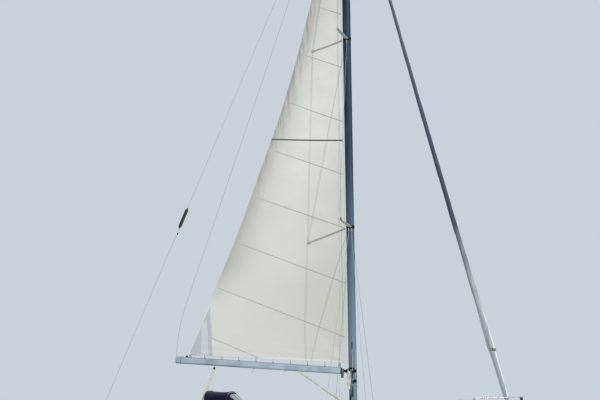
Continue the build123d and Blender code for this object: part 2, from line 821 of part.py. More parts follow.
def make_lower_shrouds():
    """Forward and aft wires a side, up to the root of the lower spreader."""
    pieces = []
    ceiling = mast_run(LOWER_SPREADER_Z) - BRACKET_HEIGHT / 2
    for x, y in chainplate_feet()[1:]:
        forward = 28.0 if x > CAP_CHAINPLATE_X else -28.0
        for hand in (-1, 1):
            eye = (x, hand * y, CHAINPLATE_EYE_Z)
            head = below_bracket(LOWER_SPREADER_Z, hand, forward)
            length = (Vector(*head) - Vector(*eye)).length
            wire = toggle(eye, CHAINPLATE_THICKNESS / 2, head)
            wire = wire + rod(point_on(eye, head, TOGGLE_RISE / length), head, WIRE_R)
            pieces.append(wire + joint_ball(head, TERMINAL_R) + hanger(head, ceiling))
    return pieces


STEM_EYE_Z = 1400.0
STEM_TANG = 12.0
CRANE_UNDERSIDE = 18.0
FORESTAY_HEAD = tuple(MAST.from_local_coords((132.0, 0, mast_run(MAST_TOP_Z) - 20.0)))
FORESTAY_FOOT = (FORESTAY_FOOT_X, 0.0, STEM_EYE_Z)
BACKSTAY_HEAD = tuple(MAST.from_local_coords((-170.0, 0, mast_run(MAST_TOP_Z) - 20.0)))
BACKSTAY_FOOT = (BACKSTAY_FOOT_X, 0.0, 1190.0)
STERN_TANG = 10.0


def make_forestay():
    """Forestay with its fork on the stem tang; the roll and drum turn round it."""
    span = Vector(*FORESTAY_HEAD) - Vector(*FORESTAY_FOOT)
    start = point_on(FORESTAY_FOOT, FORESTAY_HEAD, 20.0 / span.length)
    wire = rod(start, FORESTAY_HEAD, FORESTAY_R)
    for hand in (-1, 1):
        y0, y1 = sorted((hand * STEM_TANG / 2, hand * (STEM_TANG / 2 + TOGGLE_CHEEK)))
        wire = wire + block(
            FORESTAY_FOOT_X - 26, FORESTAY_FOOT_X + 14, y0, y1, STEM_EYE_Z - 22, STEM_EYE_Z + 42
        )
    wire = wire + block(
        FORESTAY_FOOT_X - 26, FORESTAY_FOOT_X + 2, -12, 12, STEM_EYE_Z + 24, STEM_EYE_Z + 42
    )
    wire = wire + joint_ball(FORESTAY_HEAD, TERMINAL_R)
    return [wire + hanger(FORESTAY_HEAD, mast_run(MAST_TOP_Z) + CRANE_UNDERSIDE)]


def make_backstay():
    span = Vector(*BACKSTAY_HEAD) - Vector(*BACKSTAY_FOOT)
    start = point_on(BACKSTAY_FOOT, BACKSTAY_HEAD, TOGGLE_RISE / span.length)
    wire = toggle(BACKSTAY_FOOT, STERN_TANG / 2, BACKSTAY_HEAD)
    wire = wire + rod(start, BACKSTAY_HEAD, WIRE_R)
    wire = wire + joint_ball(BACKSTAY_HEAD, TERMINAL_R)
    return [wire + hanger(BACKSTAY_HEAD, mast_run(MAST_TOP_Z) + CRANE_UNDERSIDE)]


def point_at_height(foot, head, z):
    """Point on a stay at a height."""
    return point_on(foot, head, (z - foot[2]) / (head[2] - foot[2]))


REFLECTOR_Z = (5880.0, 6350.0)


def make_radar_reflector():
    """Dark tube clipped round the backstay, with tapered ends."""
    low = point_at_height(BACKSTAY_FOOT, BACKSTAY_HEAD, REFLECTOR_Z[0])
    high = point_at_height(BACKSTAY_FOOT, BACKSTAY_HEAD, REFLECTOR_Z[1])
    span = Vector(*high) - Vector(*low)
    length = span.length
    outline = Polyline(
        (WIRE_R + 0.4, 0),
        (14, 0),
        (38, 60),
        (38, length - 60),
        (14, length),
        (WIRE_R + 0.4, length),
        close=True,
    )
    tube = revolve(Plane.XZ * make_face(outline), Axis.Z)
    return Plane(origin=low, z_dir=span) * tube


FURLER_FOOT_Z = 1500.0
FURLER_DRUM_R = 95.0


def make_furler_drum():
    """Line drum with its two flanges and the tack swivel above."""
    low = point_at_height(FORESTAY_FOOT, FORESTAY_HEAD, FURLER_FOOT_Z)
    bore = FORESTAY_R + FORESTAY_GAP
    profile = Polyline(
        (bore, 0),
        (FURLER_DRUM_R, 0),
        (FURLER_DRUM_R, 8),
        (45, 14),
        (45, 96),
        (FURLER_DRUM_R, 102),
        (FURLER_DRUM_R, 110),
        (40, 116),
        (30, 300),
        (22, 330),
        (22, 390),
        (bore, 390),
        close=True,
    )
    drum = revolve(Plane.XZ * make_face(profile), Axis.Z)
    span = Vector(*FORESTAY_HEAD) - Vector(*FORESTAY_FOOT)
    return Plane(origin=low, x_dir=(0, 1, 0), z_dir=span) * drum


# Furled headsail along the forestay. Columns: height, radius of the roll
GENOA_ROLL = (
    (GENOA_FOOT_Z, 56.0),
    (2600.0, 66.0),
    (3170.0, 84.0),
    (3750.0, 74.0),
    (5360.0, 61.0),
    (8820.0, 42.0),
    (10670.0, 32.0),
    (GENOA_TOP_Z, 22.0),
)


def make_furled_genoa():
    low = point_at_height(FORESTAY_FOOT, FORESTAY_HEAD, GENOA_FOOT_Z)
    span = Vector(*FORESTAY_HEAD) - Vector(*FORESTAY_FOOT)
    stretch = span.length / (FORESTAY_HEAD[2] - FORESTAY_FOOT[2])
    bore = FORESTAY_R + FORESTAY_GAP
    points = [(bore, 0)]
    for z, radius in GENOA_ROLL:
        points.append((radius, (z - GENOA_FOOT_Z) * stretch))
    points.append((bore, (GENOA_TOP_Z - GENOA_FOOT_Z) * stretch))
    roll = revolve(Plane.XZ * make_face(Polyline(*points, close=True)), Axis.Z)
    return Plane(origin=low, x_dir=(0, 1, 0), z_dir=span) * roll


def make_gooseneck_bracket():
    """Mast plate with two lugs and the upright pin that the boom swings on."""
    base = Plane(
        origin=(PIN_X, 0, BOOM_PIN_Z), x_dir=MAST.x_dir, z_dir=MAST.z_dir
    )
    gap = 0.3
    plate = base * (Pos(BOOM_PIN_AFT + 26, 0, 0) * Box(60, 84, 150))
    lugs = [
        base * (Pos(0, 0, z) * (Cylinder(20, 12) + Pos(25, 0, 0) * Box(50, 40, 12)))
        for z in (-45, 45)
    ]
    pin = base * Cylinder(PIN_R, 104)
    mast_space = extrude(
        Plane(
            origin=MAST.from_local_coords((0, 0, mast_run(BOOM_PIN_Z) - 300)),
            x_dir=MAST.x_dir,
            z_dir=MAST.z_dir,
        )
        * Ellipse(MAST_FORE_AFT / 2 + gap, MAST_WIDTH / 2 + gap),
        600,
    )
    return plate + lugs[0] + lugs[1] + pin - mast_space


def make_gooseneck_toggle():
    """Block that turns on the pin between the lugs, and the arm into the boom's end."""
    base = Plane(origin=(PIN_X, 0, BOOM_PIN_Z), x_dir=MAST.x_dir, z_dir=MAST.z_dir)
    block_body = base * (Cylinder(19, 66) + Pos(-24, 0, 0) * Box(40, 30, 66))
    arm = BOOM * (Pos((30 + BOOM_START) / 2, 0, 0) * Box(BOOM_START - 30, 28, 60))
    cheek = BOOM * (Pos(BOOM_START - 8, 0, 0) * Box(16, BOOM_WIDTH - 4, BOOM_HEIGHT - 4))
    bore = base * Cylinder(PIN_R + PIN_CLEARANCE, 200)
    return block_body + arm + cheek - bore


def boom_section(inset=0.0):
    return RectangleRounded(
        BOOM_WIDTH - 2 * inset, BOOM_HEIGHT - 2 * inset, BOOM_WIDTH / 2 - 6 - inset
    )


def boom_end_plane(run):
    """Plane across the boom at a distance aft of the pin."""
    return Plane(
        origin=BOOM.from_local_coords((run, 0, 0)), x_dir=(0, 1, 0), z_dir=BOOM.x_dir
    )


def make_boom():
    profile = boom_section() - boom_section(BOOM_WALL)
    return extrude(boom_end_plane(BOOM_START) * profile, BOOM_LENGTH - BOOM_START - BOOM_CAP)


def make_boom_end():
    """Cast cap on the boom's outer end, rounded off, with a slot for the outhaul sheave."""
    cap = extrude(boom_end_plane(BOOM_LENGTH - BOOM_CAP) * boom_section(), BOOM_CAP)
    outer = cap.faces().sort_by(Axis.X)[0]
    cap = fillet(outer.edges(), 14.0)
    slot = BOOM * (Pos(BOOM_LENGTH - 30, 0, BOOM_HEIGHT / 2 - 20) * Box(70, 22, 60))
    return cap - slot


# Mainsail sections from foot to head. Columns: height at the luff, height at the leech, leech
# x, sag of the cloth to port as a share of the chord
SAIL_SECTIONS = (
    (2745.0, 2935.0, -3823.0, 0.020),
    (3500.0, 3634.0, -3542.0, 0.045),
    (4400.0, 4491.0, -3207.0, 0.055),
    (5690.0, 5742.0, -2695.0, 0.060),
    (7020.0, 7043.0, -2225.0, 0.060),
    (8900.0, 8904.0, -1578.0, 0.060),
    (11190.0, 11193.0, -968.0, 0.050),
    (12520.0, 12520.0, -690.0, 0.036),
    (13850.0, 13850.0, -440.0, 0.020),
)


def sail_wire(luff_z, leech_z, leech_x, sag):
    """One level of the sail: two arcs a cloth's thickness apart."""
    luff = luff_x(luff_z)
    chord = luff - leech_x
    middle = ((luff + leech_x) / 2, (luff_z + leech_z) / 2)
    half = SAIL_THICKNESS / 2
    sides = []
    for offset in (-half, half):
        sides.append(
            (
                (luff, offset, luff_z),
                (middle[0], sag * chord + offset, middle[1]),
                (leech_x, offset, leech_z),
            )
        )
    first, second = sides
    edges = [
        Edge.make_three_point_arc(*first),
        Edge.make_line(first[2], second[2]),
        Edge.make_three_point_arc(second[2], second[1], second[0]),
        Edge.make_line(second[0], first[0]),
    ]
    return Wire(edges)


def make_mainsail():
    return Solid.make_loft([sail_wire(*row) for row in SAIL_SECTIONS])


SAIL_POST_GAP = 0.3
SAIL_POST_WIDTH = 12.0
# Posts on the boom that hold the sail's lower corners. Columns: run along the boom, length
SAIL_POSTS = (
    (175.0, 50.0),
    (3655.0, 55.0),
)


def make_sail_posts():
    """Tack horn and outhaul car on the boom's top, just under the sail's foot."""
    luff_z, leech_z, leech_x, sag = SAIL_SECTIONS[0]
    rise = (leech_z - luff_z) / (luff_x(luff_z) - leech_x)
    posts = []
    for run, length in SAIL_POSTS:
        centre = BOOM.from_local_coords((run, 0, 0))
        foot_z = luff_z + (luff_x(luff_z) - centre.X) * rise
        cut = Plane(
            origin=(centre.X, 0, foot_z - SAIL_POST_GAP), x_dir=(-1, 0, rise), z_dir=(rise, 0, 1)
        )
        sky = cut * Box(1000, 1000, 1000, align=(Align.CENTER, Align.CENTER, Align.MIN))
        post = BOOM * (
            Pos(run, 0, BOOM_HEIGHT / 2)
            * Box(length, SAIL_POST_WIDTH, 200, align=(Align.CENTER, Align.CENTER, Align.MIN))
        )
        posts.append(post - sky)
    return posts


VANG_HEEL_Z = 1790.0
VANG_BOOM_RUN = 1060.0


def make_vang_bracket():
    """Small mast-heel plate with the pin that the vang turns on, in line with the gooseneck."""
    base = Plane(
        origin=(pin_x(VANG_HEEL_Z), 0, VANG_HEEL_Z), x_dir=MAST.x_dir, z_dir=MAST.z_dir
    )
    plate = base * (Pos(BOOM_PIN_AFT + 26, 0, 0) * Box(60, 70, 110))
    lugs = [
        base * (Pos(0, 0, z) * (Cylinder(18, 10) + Pos(25, 0, 0) * Box(50, 36, 10)))
        for z in (-32, 32)
    ]
    pin = base * Cylinder(PIN_R, 76)
    mast_space = extrude(
        Plane(
            origin=MAST.from_local_coords((0, 0, mast_run(VANG_HEEL_Z) - 150)),
            x_dir=MAST.x_dir,
            z_dir=MAST.z_dir,
        )
        * Ellipse(MAST_FORE_AFT / 2 + 0.3, MAST_WIDTH / 2 + 0.3),
        300,
    )
    return plate + lugs[0] + lugs[1] + pin - mast_space


def make_vang():
    """Telescopic strut from the mast heel to the boom's underside."""
    base = Plane(
        origin=(pin_x(VANG_HEEL_Z), 0, VANG_HEEL_Z), x_dir=MAST.x_dir, z_dir=MAST.z_dir
    )
    foot = (pin_x(VANG_HEEL_Z), 0.0, VANG_HEEL_Z)
    top = tuple(BOOM.from_local_coords((VANG_BOOM_RUN, 0, -BOOM_HEIGHT / 2 - 34)))
    middle = point_on(foot, top, 0.55)
    length = (Vector(*top) - Vector(*foot)).length
    eye = base * Cylinder(17, 50)
    neck = rod(point_on(foot, top, 10 / length), point_on(foot, top, 90 / length), 11)
    tube = rod(point_on(foot, top, 75 / length), middle, 27)
    inner = rod(point_on(foot, top, 0.5), top, 20)
    fork = BOOM * (
        Pos(VANG_BOOM_RUN, 0, -BOOM_HEIGHT / 2 - 20.2) * Box(110, 36, 40)
    )
    body = eye + neck + tube + inner + fork
    return body - base * Cylinder(PIN_R + PIN_CLEARANCE, 80)


# Deck fittings


def make_stem_fitting():
    """Stem plate on its pad, with the forestay's tang."""
    plate = block(STEM_PAD_X[0], STEM_PAD_X[1], -34, 34, STEM_PAD_Z, STEM_PAD_Z + 8)
    tang = block(
        FORESTAY_FOOT_X - 30,
        FORESTAY_FOOT_X + 30,
        -STEM_TANG / 2,
        STEM_TANG / 2,
        STEM_PAD_Z + 8,
        STEM_EYE_Z + 16,
    )
    return plate + tang


def make_stern_plate():
    x = BACKSTAY_FOOT_X
    plate = block(x - 40, x + 40, -40, 40, STERN_PAD_Z, STERN_PAD_Z + 8)
    half = STERN_TANG / 2
    tang = block(x - 25, x + 25, -half, half, STERN_PAD_Z + 8, BACKSTAY_FOOT[2] + 18)
    return plate + tang


WINCH_PROFILE = (
    (0.0, 0.0),
    (68.0, 0.0),
    (68.0, 16.0),
    (50.0, 24.0),
    (42.0, 60.0),
    (46.0, 100.0),
    (60.0, 112.0),
    (60.0, 124.0),
    (48.0, 132.0),
    (48.0, 146.0),
    (0.0, 146.0),
)

# Winches. Columns: x, half width, height of the foot, size
WINCHES = (
    (-3900.0, COCKPIT_HALF + 45.0, COAMING_TOP_Z, 1.0),
    (-2150.0, 620.0, WINCH_PAD_Z, 0.75),
)


def make_winches():
    pieces = []
    face = make_face(Polyline(*WINCH_PROFILE, close=True))
    winch = revolve(Plane.XZ * face, Axis.Z)
    for x, y, z, size in WINCHES:
        for hand in (-1, 1):
            pieces.append(Pos(x, hand * y, z) * scale(winch, size))
    return pieces


def make_cleats():
    """Mooring cleats: a foot, two posts and a long horn."""
    pieces = []
    for x, y in CLEAT_FEET:
        for hand in (-1, 1):
            z = sheer(x) + STANCHION_FOOT_RISE
            foot = Pos(x, hand * y, z + 5) * Box(120, 50, 10)
            posts = [Pos(x + dx, hand * y, z + 28) * Cylinder(10, 42) for dx in (-28, 28)]
            horn = Pos(x, hand * y, z + 50) * Rot(0, 90, 0) * Cylinder(11, 240)
            pieces.append(foot + posts[0] + posts[1] + horn)
    return pieces


def make_stanchions():
    pieces = []
    for x, y in stanchion_feet():
        for hand in (-1, 1):
            z = sheer(x) + STANCHION_FOOT_RISE
            foot = Pos(x, hand * y, z + 5) * Box(70, 50, 10)
            post = Pos(x, hand * y, z + 5 + STANCHION_HEIGHT / 2) * Cylinder(
                STANCHION_R, STANCHION_HEIGHT
            )
            pieces.append(foot + post)
    return pieces


RAIL_R = 12.5


def rail_foot(x, y, rise, hand):
    """Round plate on its pad, and the point where the leg starts."""
    z = sheer(x) + rise
    return Pos(x, hand * y, z + 4) * Cylinder(32, 8), (x, hand * y, z + 4)


PULPIT_TOP_Z = 1950.0
PUSHPIT_TOP_Z = 1740.0


def make_pulpit():
    """Bow rail: one bent tube round the stem, with a leg each side near the bow."""
    feet = [rail_foot(*RAIL_FEET[0], hand) for hand in (1, -1)]
    path = FilletPolyline(
        feet[0][1],
        (2760.0, 560.0, PULPIT_TOP_Z),
        (3850.0, 170.0, PULPIT_TOP_Z + 20),
        (3850.0, -170.0, PULPIT_TOP_Z + 20),
        (2760.0, -560.0, PULPIT_TOP_Z),
        feet[1][1],
        radius=90,
    )
    section = Plane(origin=path @ 0, z_dir=path % 0) * Circle(RAIL_R)
    rail = sweep(section, path=path) + feet[0][0] + feet[1][0]
    for hand in (-1, 1):
        plate, start = rail_foot(*RAIL_FEET[1], hand)
        rail = rail + plate + rod(start, (3560.0, hand * 273.7, PULPIT_TOP_Z + 14.7), RAIL_R)
    return rail


def make_pushpit():
    """Stern rail on each quarter, open in the middle for the ladder."""
    pieces = []
    for hand in (-1, 1):
        outer, outer_start = rail_foot(*RAIL_FEET[2], hand)
        inner, inner_start = rail_foot(*RAIL_FEET[3], hand)
        path = FilletPolyline(
            outer_start,
            (-5240.0, hand * 1190.0, PUSHPIT_TOP_Z),
            (-6030.0, hand * 950.0, PUSHPIT_TOP_Z),
            (-6060.0, hand * 320.0, PUSHPIT_TOP_Z),
            inner_start,
            radius=80,
        )
        section = Plane(origin=path @ 0, z_dir=path % 0) * Circle(RAIL_R)
        pieces.append(sweep(section, path=path) + outer + inner)
    return pieces


def make_pedestal():
    """Steering pedestal on the cockpit sole, with its wheel shaft."""
    foot = Pos(PEDESTAL_X, 0, WELL_SOLE_Z + 10) * Box(260, 260, 20)
    column = Solid.make_cone(95, 60, 640, Plane(origin=(PEDESTAL_X, 0, WELL_SOLE_Z + 20)))
    head = Pos(PEDESTAL_X, 0, WELL_SOLE_Z + 750) * Box(190, 200, 190)
    shaft = rod((PEDESTAL_X - 60, 0, WHEEL_Z), (WHEEL_X - 40, 0, WHEEL_Z), 12.0)
    return foot + column + head + shaft


PEDESTAL_X = -4560.0
WHEEL_X = -4730.0
WHEEL_Z = 1330.0
WHEEL_R = 400.0
WHEEL_RIM_R = 15.0
WHEEL_SPOKES = 6


def make_wheel():
    """Spoked wheel that turns on the pedestal's shaft."""
    axis = Plane(origin=(WHEEL_X, 0, WHEEL_Z), x_dir=(0, 1, 0), z_dir=(1, 0, 0))
    rim = axis * Torus(WHEEL_R, WHEEL_RIM_R)
    hub = axis * (Cylinder(38, 50) - Cylinder(12 + PIN_CLEARANCE, 300))
    wheel = rim + hub
    for index in range(WHEEL_SPOKES):
        angle = math.radians(360 / WHEEL_SPOKES * index + 15)
        ends = []
        for reach in (30.0, WHEEL_R - 8.0):
            ends.append((WHEEL_X, reach * math.cos(angle), WHEEL_Z + reach * math.sin(angle)))
        wheel = wheel + rod(*ends, 7.0)
    return wheel


TRAVELLER_X = -3760.0


def make_traveller():
    """Mainsheet track on a beam across the cockpit, with its car."""
    beam = block(TRAVELLER_X - 30, TRAVELLER_X + 30, -760, 760, SEAT_Z + 0.0, SEAT_Z + 30)
    track = block(TRAVELLER_X - 16, TRAVELLER_X + 16, -740, 740, SEAT_Z + 30, SEAT_Z + 52)
    car = block(TRAVELLER_X - 45, TRAVELLER_X + 45, -60, 60, SEAT_Z + 30, SEAT_Z + 80)
    return beam + track + car


def make_hatch():
    """Sliding companionway hatch with a raised grip at its after end."""
    lid = block(*HATCH_X, -HATCH_HALF, HATCH_HALF, RUNNER_TOP_Z + 0.5, RUNNER_TOP_Z + HATCH_THICKNESS)
    grip = block(
        HATCH_X[0] + 20, HATCH_X[0] + 50, -200, 200, RUNNER_TOP_Z + HATCH_THICKNESS, RUNNER_TOP_Z + 45
    )
    return lid + grip


def make_garage():
    """Cover that the hatch slides under."""
    top_z = RUNNER_TOP_Z + GARAGE_RISE
    outer = block(*GARAGE_X, -GARAGE_HALF, GARAGE_HALF, RUNNER_TOP_Z, top_z)
    inner_half = GARAGE_HALF - GARAGE_WALL
    inner = block(
        GARAGE_X[0] - 10,
        GARAGE_X[1] - GARAGE_WALL,
        -inner_half,
        inner_half,
        RUNNER_TOP_Z - 50,
        top_z - GARAGE_WALL,
    )
    return outer - inner


def hinged_lid(x0, x1, y0, y1, z):
    """Flat lid that lies on its frame with a small gap."""
    return block(x0, x1, y0, y1, z + LID_SEAT_GAP, z + LID_SEAT_GAP + LID_THICKNESS)


def make_fore_hatch():
    lap = 20
    return hinged_lid(
        FORE_HATCH_X[0] - lap,
        FORE_HATCH_X[1] + lap,
        -FORE_HATCH_HALF - lap,
        FORE_HATCH_HALF + lap,
        FORE_HATCH_SEAT_Z,
    )


def make_anchor_lid():
    lap = 20
    return hinged_lid(
        ANCHOR_X[0] - lap, ANCHOR_X[1] + lap, -ANCHOR_HALF - lap, ANCHOR_HALF + lap, LID_PAD_Z
    )


def make_locker_lids():
    lids = locker_blocks(
        SEAT_Z + LID_SEAT_GAP, SEAT_Z + LID_SEAT_GAP + LID_THICKNESS, LID_LAP
    )
    return lids


# Spray hood sections from its front edge aft. Columns: x, half width, foot height, top height
HOOD_SECTIONS = (
    (-2420.0, 940.0, 1420.0, 1760.0),
    (-2820.0, 990.0, 1400.0, 2095.0),
    (-3330.0, 1040.0, COAMING_TOP_Z + 0.5, 2110.0),
)
HOOD_SKIN = 12.0
HOOD_SEAT_GAP = 0.5


def hood_form(inset=0.0, stretch=0.0):
    wires = []
    for index, (x, half, foot_z, top_z) in enumerate(HOOD_SECTIONS):
        if index == 0:
            x = x - inset
        if index == len(HOOD_SECTIONS) - 1:
            x = x - stretch
        half = half - inset
        foot = foot_z - stretch
        shoulder = top_z - inset - (top_z - foot_z) * 0.32
        crown = top_z - inset
        bend_z = crown - 0.30 * (crown - shoulder)
        top_edge = (0.45 * half, crown - 4)
        edges = [
            Edge.make_line((x, half, foot), (x, half, shoulder)),
            Edge.make_three_point_arc((x, half, shoulder), (x, half * 0.78, bend_z), (x, *top_edge)),
            Edge.make_three_point_arc((x, *top_edge), (x, 0, crown), (x, -top_edge[0], top_edge[1])),
            Edge.make_three_point_arc(
                (x, -top_edge[0], top_edge[1]), (x, -half * 0.78, bend_z), (x, -half, shoulder)
            ),
            Edge.make_line((x, -half, shoulder), (x, -half, foot)),
            Edge.make_line((x, -half, foot), (x, half, foot)),
        ]
        wires.append(Wire(edges))
    return Solid.make_loft(wires, ruled=True)


def make_hood():
    """Fabric shell, open aft and below, that lies on the coachroof, hatch cover and coamings."""
    hood = hood_form() - hood_form(HOOD_SKIN, 60.0)
    hood = hood - roof_form(-HOOD_SEAT_GAP)
    half = GARAGE_HALF + HOOD_SEAT_GAP
    top_z = RUNNER_TOP_Z + GARAGE_RISE + HOOD_SEAT_GAP
    hood = hood - block(GARAGE_X[0] - 10.0, GARAGE_X[1], -half, half, 1400, top_z)
    runner_half = GARAGE_HALF + 8.0 + HOOD_SEAT_GAP
    runner_z = RUNNER_TOP_Z + HOOD_SEAT_GAP
    return hood - block(-3100, GARAGE_X[1], -runner_half, runner_half, 1400, runner_z)


# Build every piece and write it
save("hull", make_hull())
deck, coachroof = make_deck()
save("deck", deck)
save("coachroof", coachroof)
save("cockpit", make_cockpit())
save("keel", make_keel())
save("rudder", make_rudder())
save("saildrive_leg", make_saildrive_leg())
save("propeller", make_propeller())
save("engine", make_engine())
save("cabin_windows", *make_windows())
save("coamings", *make_coamings())
save("mast", make_mast())
save("mast_step", make_mast_step())
save("masthead", make_masthead())
save("spreader_brackets", collar(UPPER_SPREADER_Z), collar(LOWER_SPREADER_Z))
spreaders = []
for hand in (-1, 1):
    spreaders.append(make_spreader(UPPER_SPREADER_Z, UPPER_SPREADER_TIP_Y, hand))
    spreaders.append(make_spreader(LOWER_SPREADER_Z, LOWER_SPREADER_TIP_Y, hand))
save("spreaders", *spreaders)
save("cap_shrouds", *make_cap_shrouds())
save("intermediate_shrouds", *make_intermediate_shrouds())
save("lower_shrouds", *make_lower_shrouds())
save("forestay", *make_forestay())
save("backstay", *make_backstay())
save("radar_reflector", make_radar_reflector())
save("furler_drum", make_furler_drum())
save("furled_genoa", make_furled_genoa())
save("gooseneck_bracket", make_gooseneck_bracket(), make_vang_bracket())
save("gooseneck_toggle", make_gooseneck_toggle())
save("boom", make_boom())
save("boom_end", make_boom_end())
save("mainsail", make_mainsail())
save("sail_posts", *make_sail_posts())
save("vang", make_vang())
save("chainplates", *chainplate_blocks())
save("stem_fitting", make_stem_fitting())
save("stern_plate", make_stern_plate())
save("winches", *make_winches())
save("mooring_cleats", *make_cleats())
save("stanchions", *make_stanchions())
save("pulpit", make_pulpit())
save("pushpit", *make_pushpit())
save("steering_pedestal", make_pedestal())
save("steering_wheel", make_wheel())
save("mainsheet_traveller", make_traveller())
save("companionway_hatch", make_hatch())
save("hatch_garage", make_garage())
save("fore_hatch", make_fore_hatch())
save("anchor_locker_lid", make_anchor_lid())
lids = make_locker_lids()
save("locker_lid_stbd", lids[0])
save("locker_lid_port", lids[1])
save("spray_hood", make_hood())
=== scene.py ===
import math

import bmesh
import bpy
import numpy as np
from mathutils import Matrix, Vector, noise
from mathutils.bvhtree import BVHTree


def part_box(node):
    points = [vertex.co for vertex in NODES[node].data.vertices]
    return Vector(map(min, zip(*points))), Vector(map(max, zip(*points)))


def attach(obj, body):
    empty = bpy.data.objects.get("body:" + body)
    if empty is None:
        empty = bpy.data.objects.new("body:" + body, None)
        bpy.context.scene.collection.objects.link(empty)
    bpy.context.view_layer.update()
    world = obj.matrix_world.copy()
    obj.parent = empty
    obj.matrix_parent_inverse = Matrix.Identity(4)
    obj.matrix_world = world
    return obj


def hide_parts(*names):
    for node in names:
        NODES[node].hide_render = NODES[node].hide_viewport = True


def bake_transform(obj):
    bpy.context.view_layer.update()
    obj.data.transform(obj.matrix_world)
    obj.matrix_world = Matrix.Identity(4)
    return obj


# Sailing yacht. Metres in the part's own frame: +X to the bow, +Y to port, +Z up, with the
# origin on the centreline at the waterline. In order: camera, light, materials, mesh making,
# sails, spray hood, rails and tracks, rigging, deck gear, helm, teak, ladder and floor.

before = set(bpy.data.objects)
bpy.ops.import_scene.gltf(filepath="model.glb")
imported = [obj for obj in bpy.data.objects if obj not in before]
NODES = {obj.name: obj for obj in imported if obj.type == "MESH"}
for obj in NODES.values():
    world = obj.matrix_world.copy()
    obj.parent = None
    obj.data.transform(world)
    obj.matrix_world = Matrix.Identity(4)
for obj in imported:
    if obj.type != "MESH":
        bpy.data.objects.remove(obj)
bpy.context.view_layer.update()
MM = 0.001

# Camera: it stands off the starboard side, a little ahead of the mast, with a long lens
IMAGE_WIDTH = 600
IMAGE_HEIGHT = 400
VIEW_DISTANCE = 60.0
VIEW_AHEAD = math.radians(4.5)
EYE_HEIGHT = 2.2
FOCAL_PX = 2600.0
MAST_U = 353.5
HORIZON_V = 387.0
SENSOR_MM = 36.0
VIEW_REACH = 1000.0


def make_camera():
    """Camera at the photograph's place, aimed so that the mast and horizon fall where they do there."""
    pitch = math.atan((HORIZON_V - IMAGE_HEIGHT / 2) / FOCAL_PX)
    heading = VIEW_AHEAD + math.atan((MAST_U - IMAGE_WIDTH / 2) / FOCAL_PX * math.cos(pitch))
    data = bpy.data.cameras.new("camera")
    data.sensor_width = SENSOR_MM
    data.lens = FOCAL_PX / IMAGE_WIDTH * SENSOR_MM
    data.clip_end = VIEW_REACH
    camera = bpy.data.objects.new("camera", data)
    camera.location = (
        VIEW_DISTANCE * math.sin(VIEW_AHEAD),
        -VIEW_DISTANCE * math.cos(VIEW_AHEAD),
        EYE_HEIGHT,
    )
    look = Vector(
        (
            -math.sin(heading) * math.cos(pitch),
            math.cos(heading) * math.cos(pitch),
            math.sin(pitch),
        )
    )
    camera.rotation_euler = look.to_track_quat("-Z", "Y").to_euler()
    bpy.context.scene.collection.objects.link(camera)
    bpy.context.scene.camera = camera


make_camera()

# Light: a low sun ahead on the starboard side, and a plain sky. SKY_HEX is what the camera sees
# behind the boat and SKY_LIGHT_HEX is what lights it
SUN_DIRECTION = Vector((-0.675, 1.0, -0.395))
SUN_STRENGTH = 2.3
SUN_ANGLE = math.radians(1.7)
SUN_COLOUR = (1.0, 0.975, 0.94)
SKY_LIGHT = 0.42
SKY_HEX = "c9d1da"
SKY_LIGHT_HEX = "e6ecf2"


def rgb(code):
    """Linear colour of an sRGB hex code."""
    values = [int(code[i : i + 2], 16) / 255 for i in (0, 2, 4)]
    return tuple(v / 12.92 if v <= 0.04045 else ((v + 0.055) / 1.055) ** 2.4 for v in values) + (1.0,)


def add(tree, kind, out=0, inputs=None, **settings):
    """Add a node. Inputs take an output to link, a hex colour or a value; returns one of its outputs."""
    node = tree.nodes.new("ShaderNode" + kind)
    for key, value in settings.items():
        setattr(node, key, value)
    for key, value in (inputs or {}).items():
        if isinstance(value, bpy.types.NodeSocket):
            tree.links.new(value, node.inputs[key])
        else:
            node.inputs[key].default_value = rgb(value) if isinstance(value, str) else value
    return node.outputs[out] if node.outputs else node


def light_up():
    """Sun and sky; the camera, bright metal and glass see the backdrop's own colour."""
    scene = bpy.context.scene
    scene.view_settings.view_transform = "Standard"
    sun = bpy.data.lights.new("sun", "SUN")
    sun.energy = SUN_STRENGTH
    sun.angle = SUN_ANGLE
    sun.color = SUN_COLOUR
    lamp = bpy.data.objects.new("sun", sun)
    lamp.rotation_euler = SUN_DIRECTION.to_track_quat("-Z", "Y").to_euler()
    scene.collection.objects.link(lamp)
    world = bpy.data.worlds.new("studio")
    scene.world = world
    world.use_nodes = True
    tree = world.node_tree
    tree.nodes.clear()
    glow = add(tree, "Background", 0, {"Color": SKY_LIGHT_HEX, "Strength": SKY_LIGHT})
    seen = add(tree, "Background", 0, {"Color": SKY_HEX, "Strength": 1.0})
    ray = add(tree, "LightPath", "Is Camera Ray")
    mirrored = add(tree, "LightPath", "Is Glossy Ray")
    through = add(tree, "LightPath", "Is Transmission Ray")
    shown = add(tree, "Math", 0, {0: ray, 1: mirrored}, operation="MAXIMUM")
    shown = add(tree, "Math", 0, {0: shown, 1: through}, operation="MAXIMUM")
    add(tree, "OutputWorld", 0, {0: add(tree, "MixShader", 0, {0: shown, 1: glow, 2: seen})})


light_up()

# Materials


def shader(name, roughness=0.5, metallic=0.0, **sockets):
    """New material with its shader's own uniform values set."""
    mat = bpy.data.materials.new(name)
    mat.use_nodes = True
    tree = mat.node_tree
    bsdf = tree.nodes["Principled BSDF"]
    bsdf.inputs["Roughness"].default_value = roughness
    bsdf.inputs["Metallic"].default_value = metallic
    for key, value in sockets.items():
        bsdf.inputs[key.replace("_", " ").title().replace("Ior", "IOR")].default_value = value
    return mat, tree, bsdf


def finish_with(tree, bsdf, **outputs):
    """Join outputs to the shader: base_color, roughness or normal."""
    for key, output in outputs.items():
        tree.links.new(output, bsdf.inputs[key.replace("_", " ").title()])


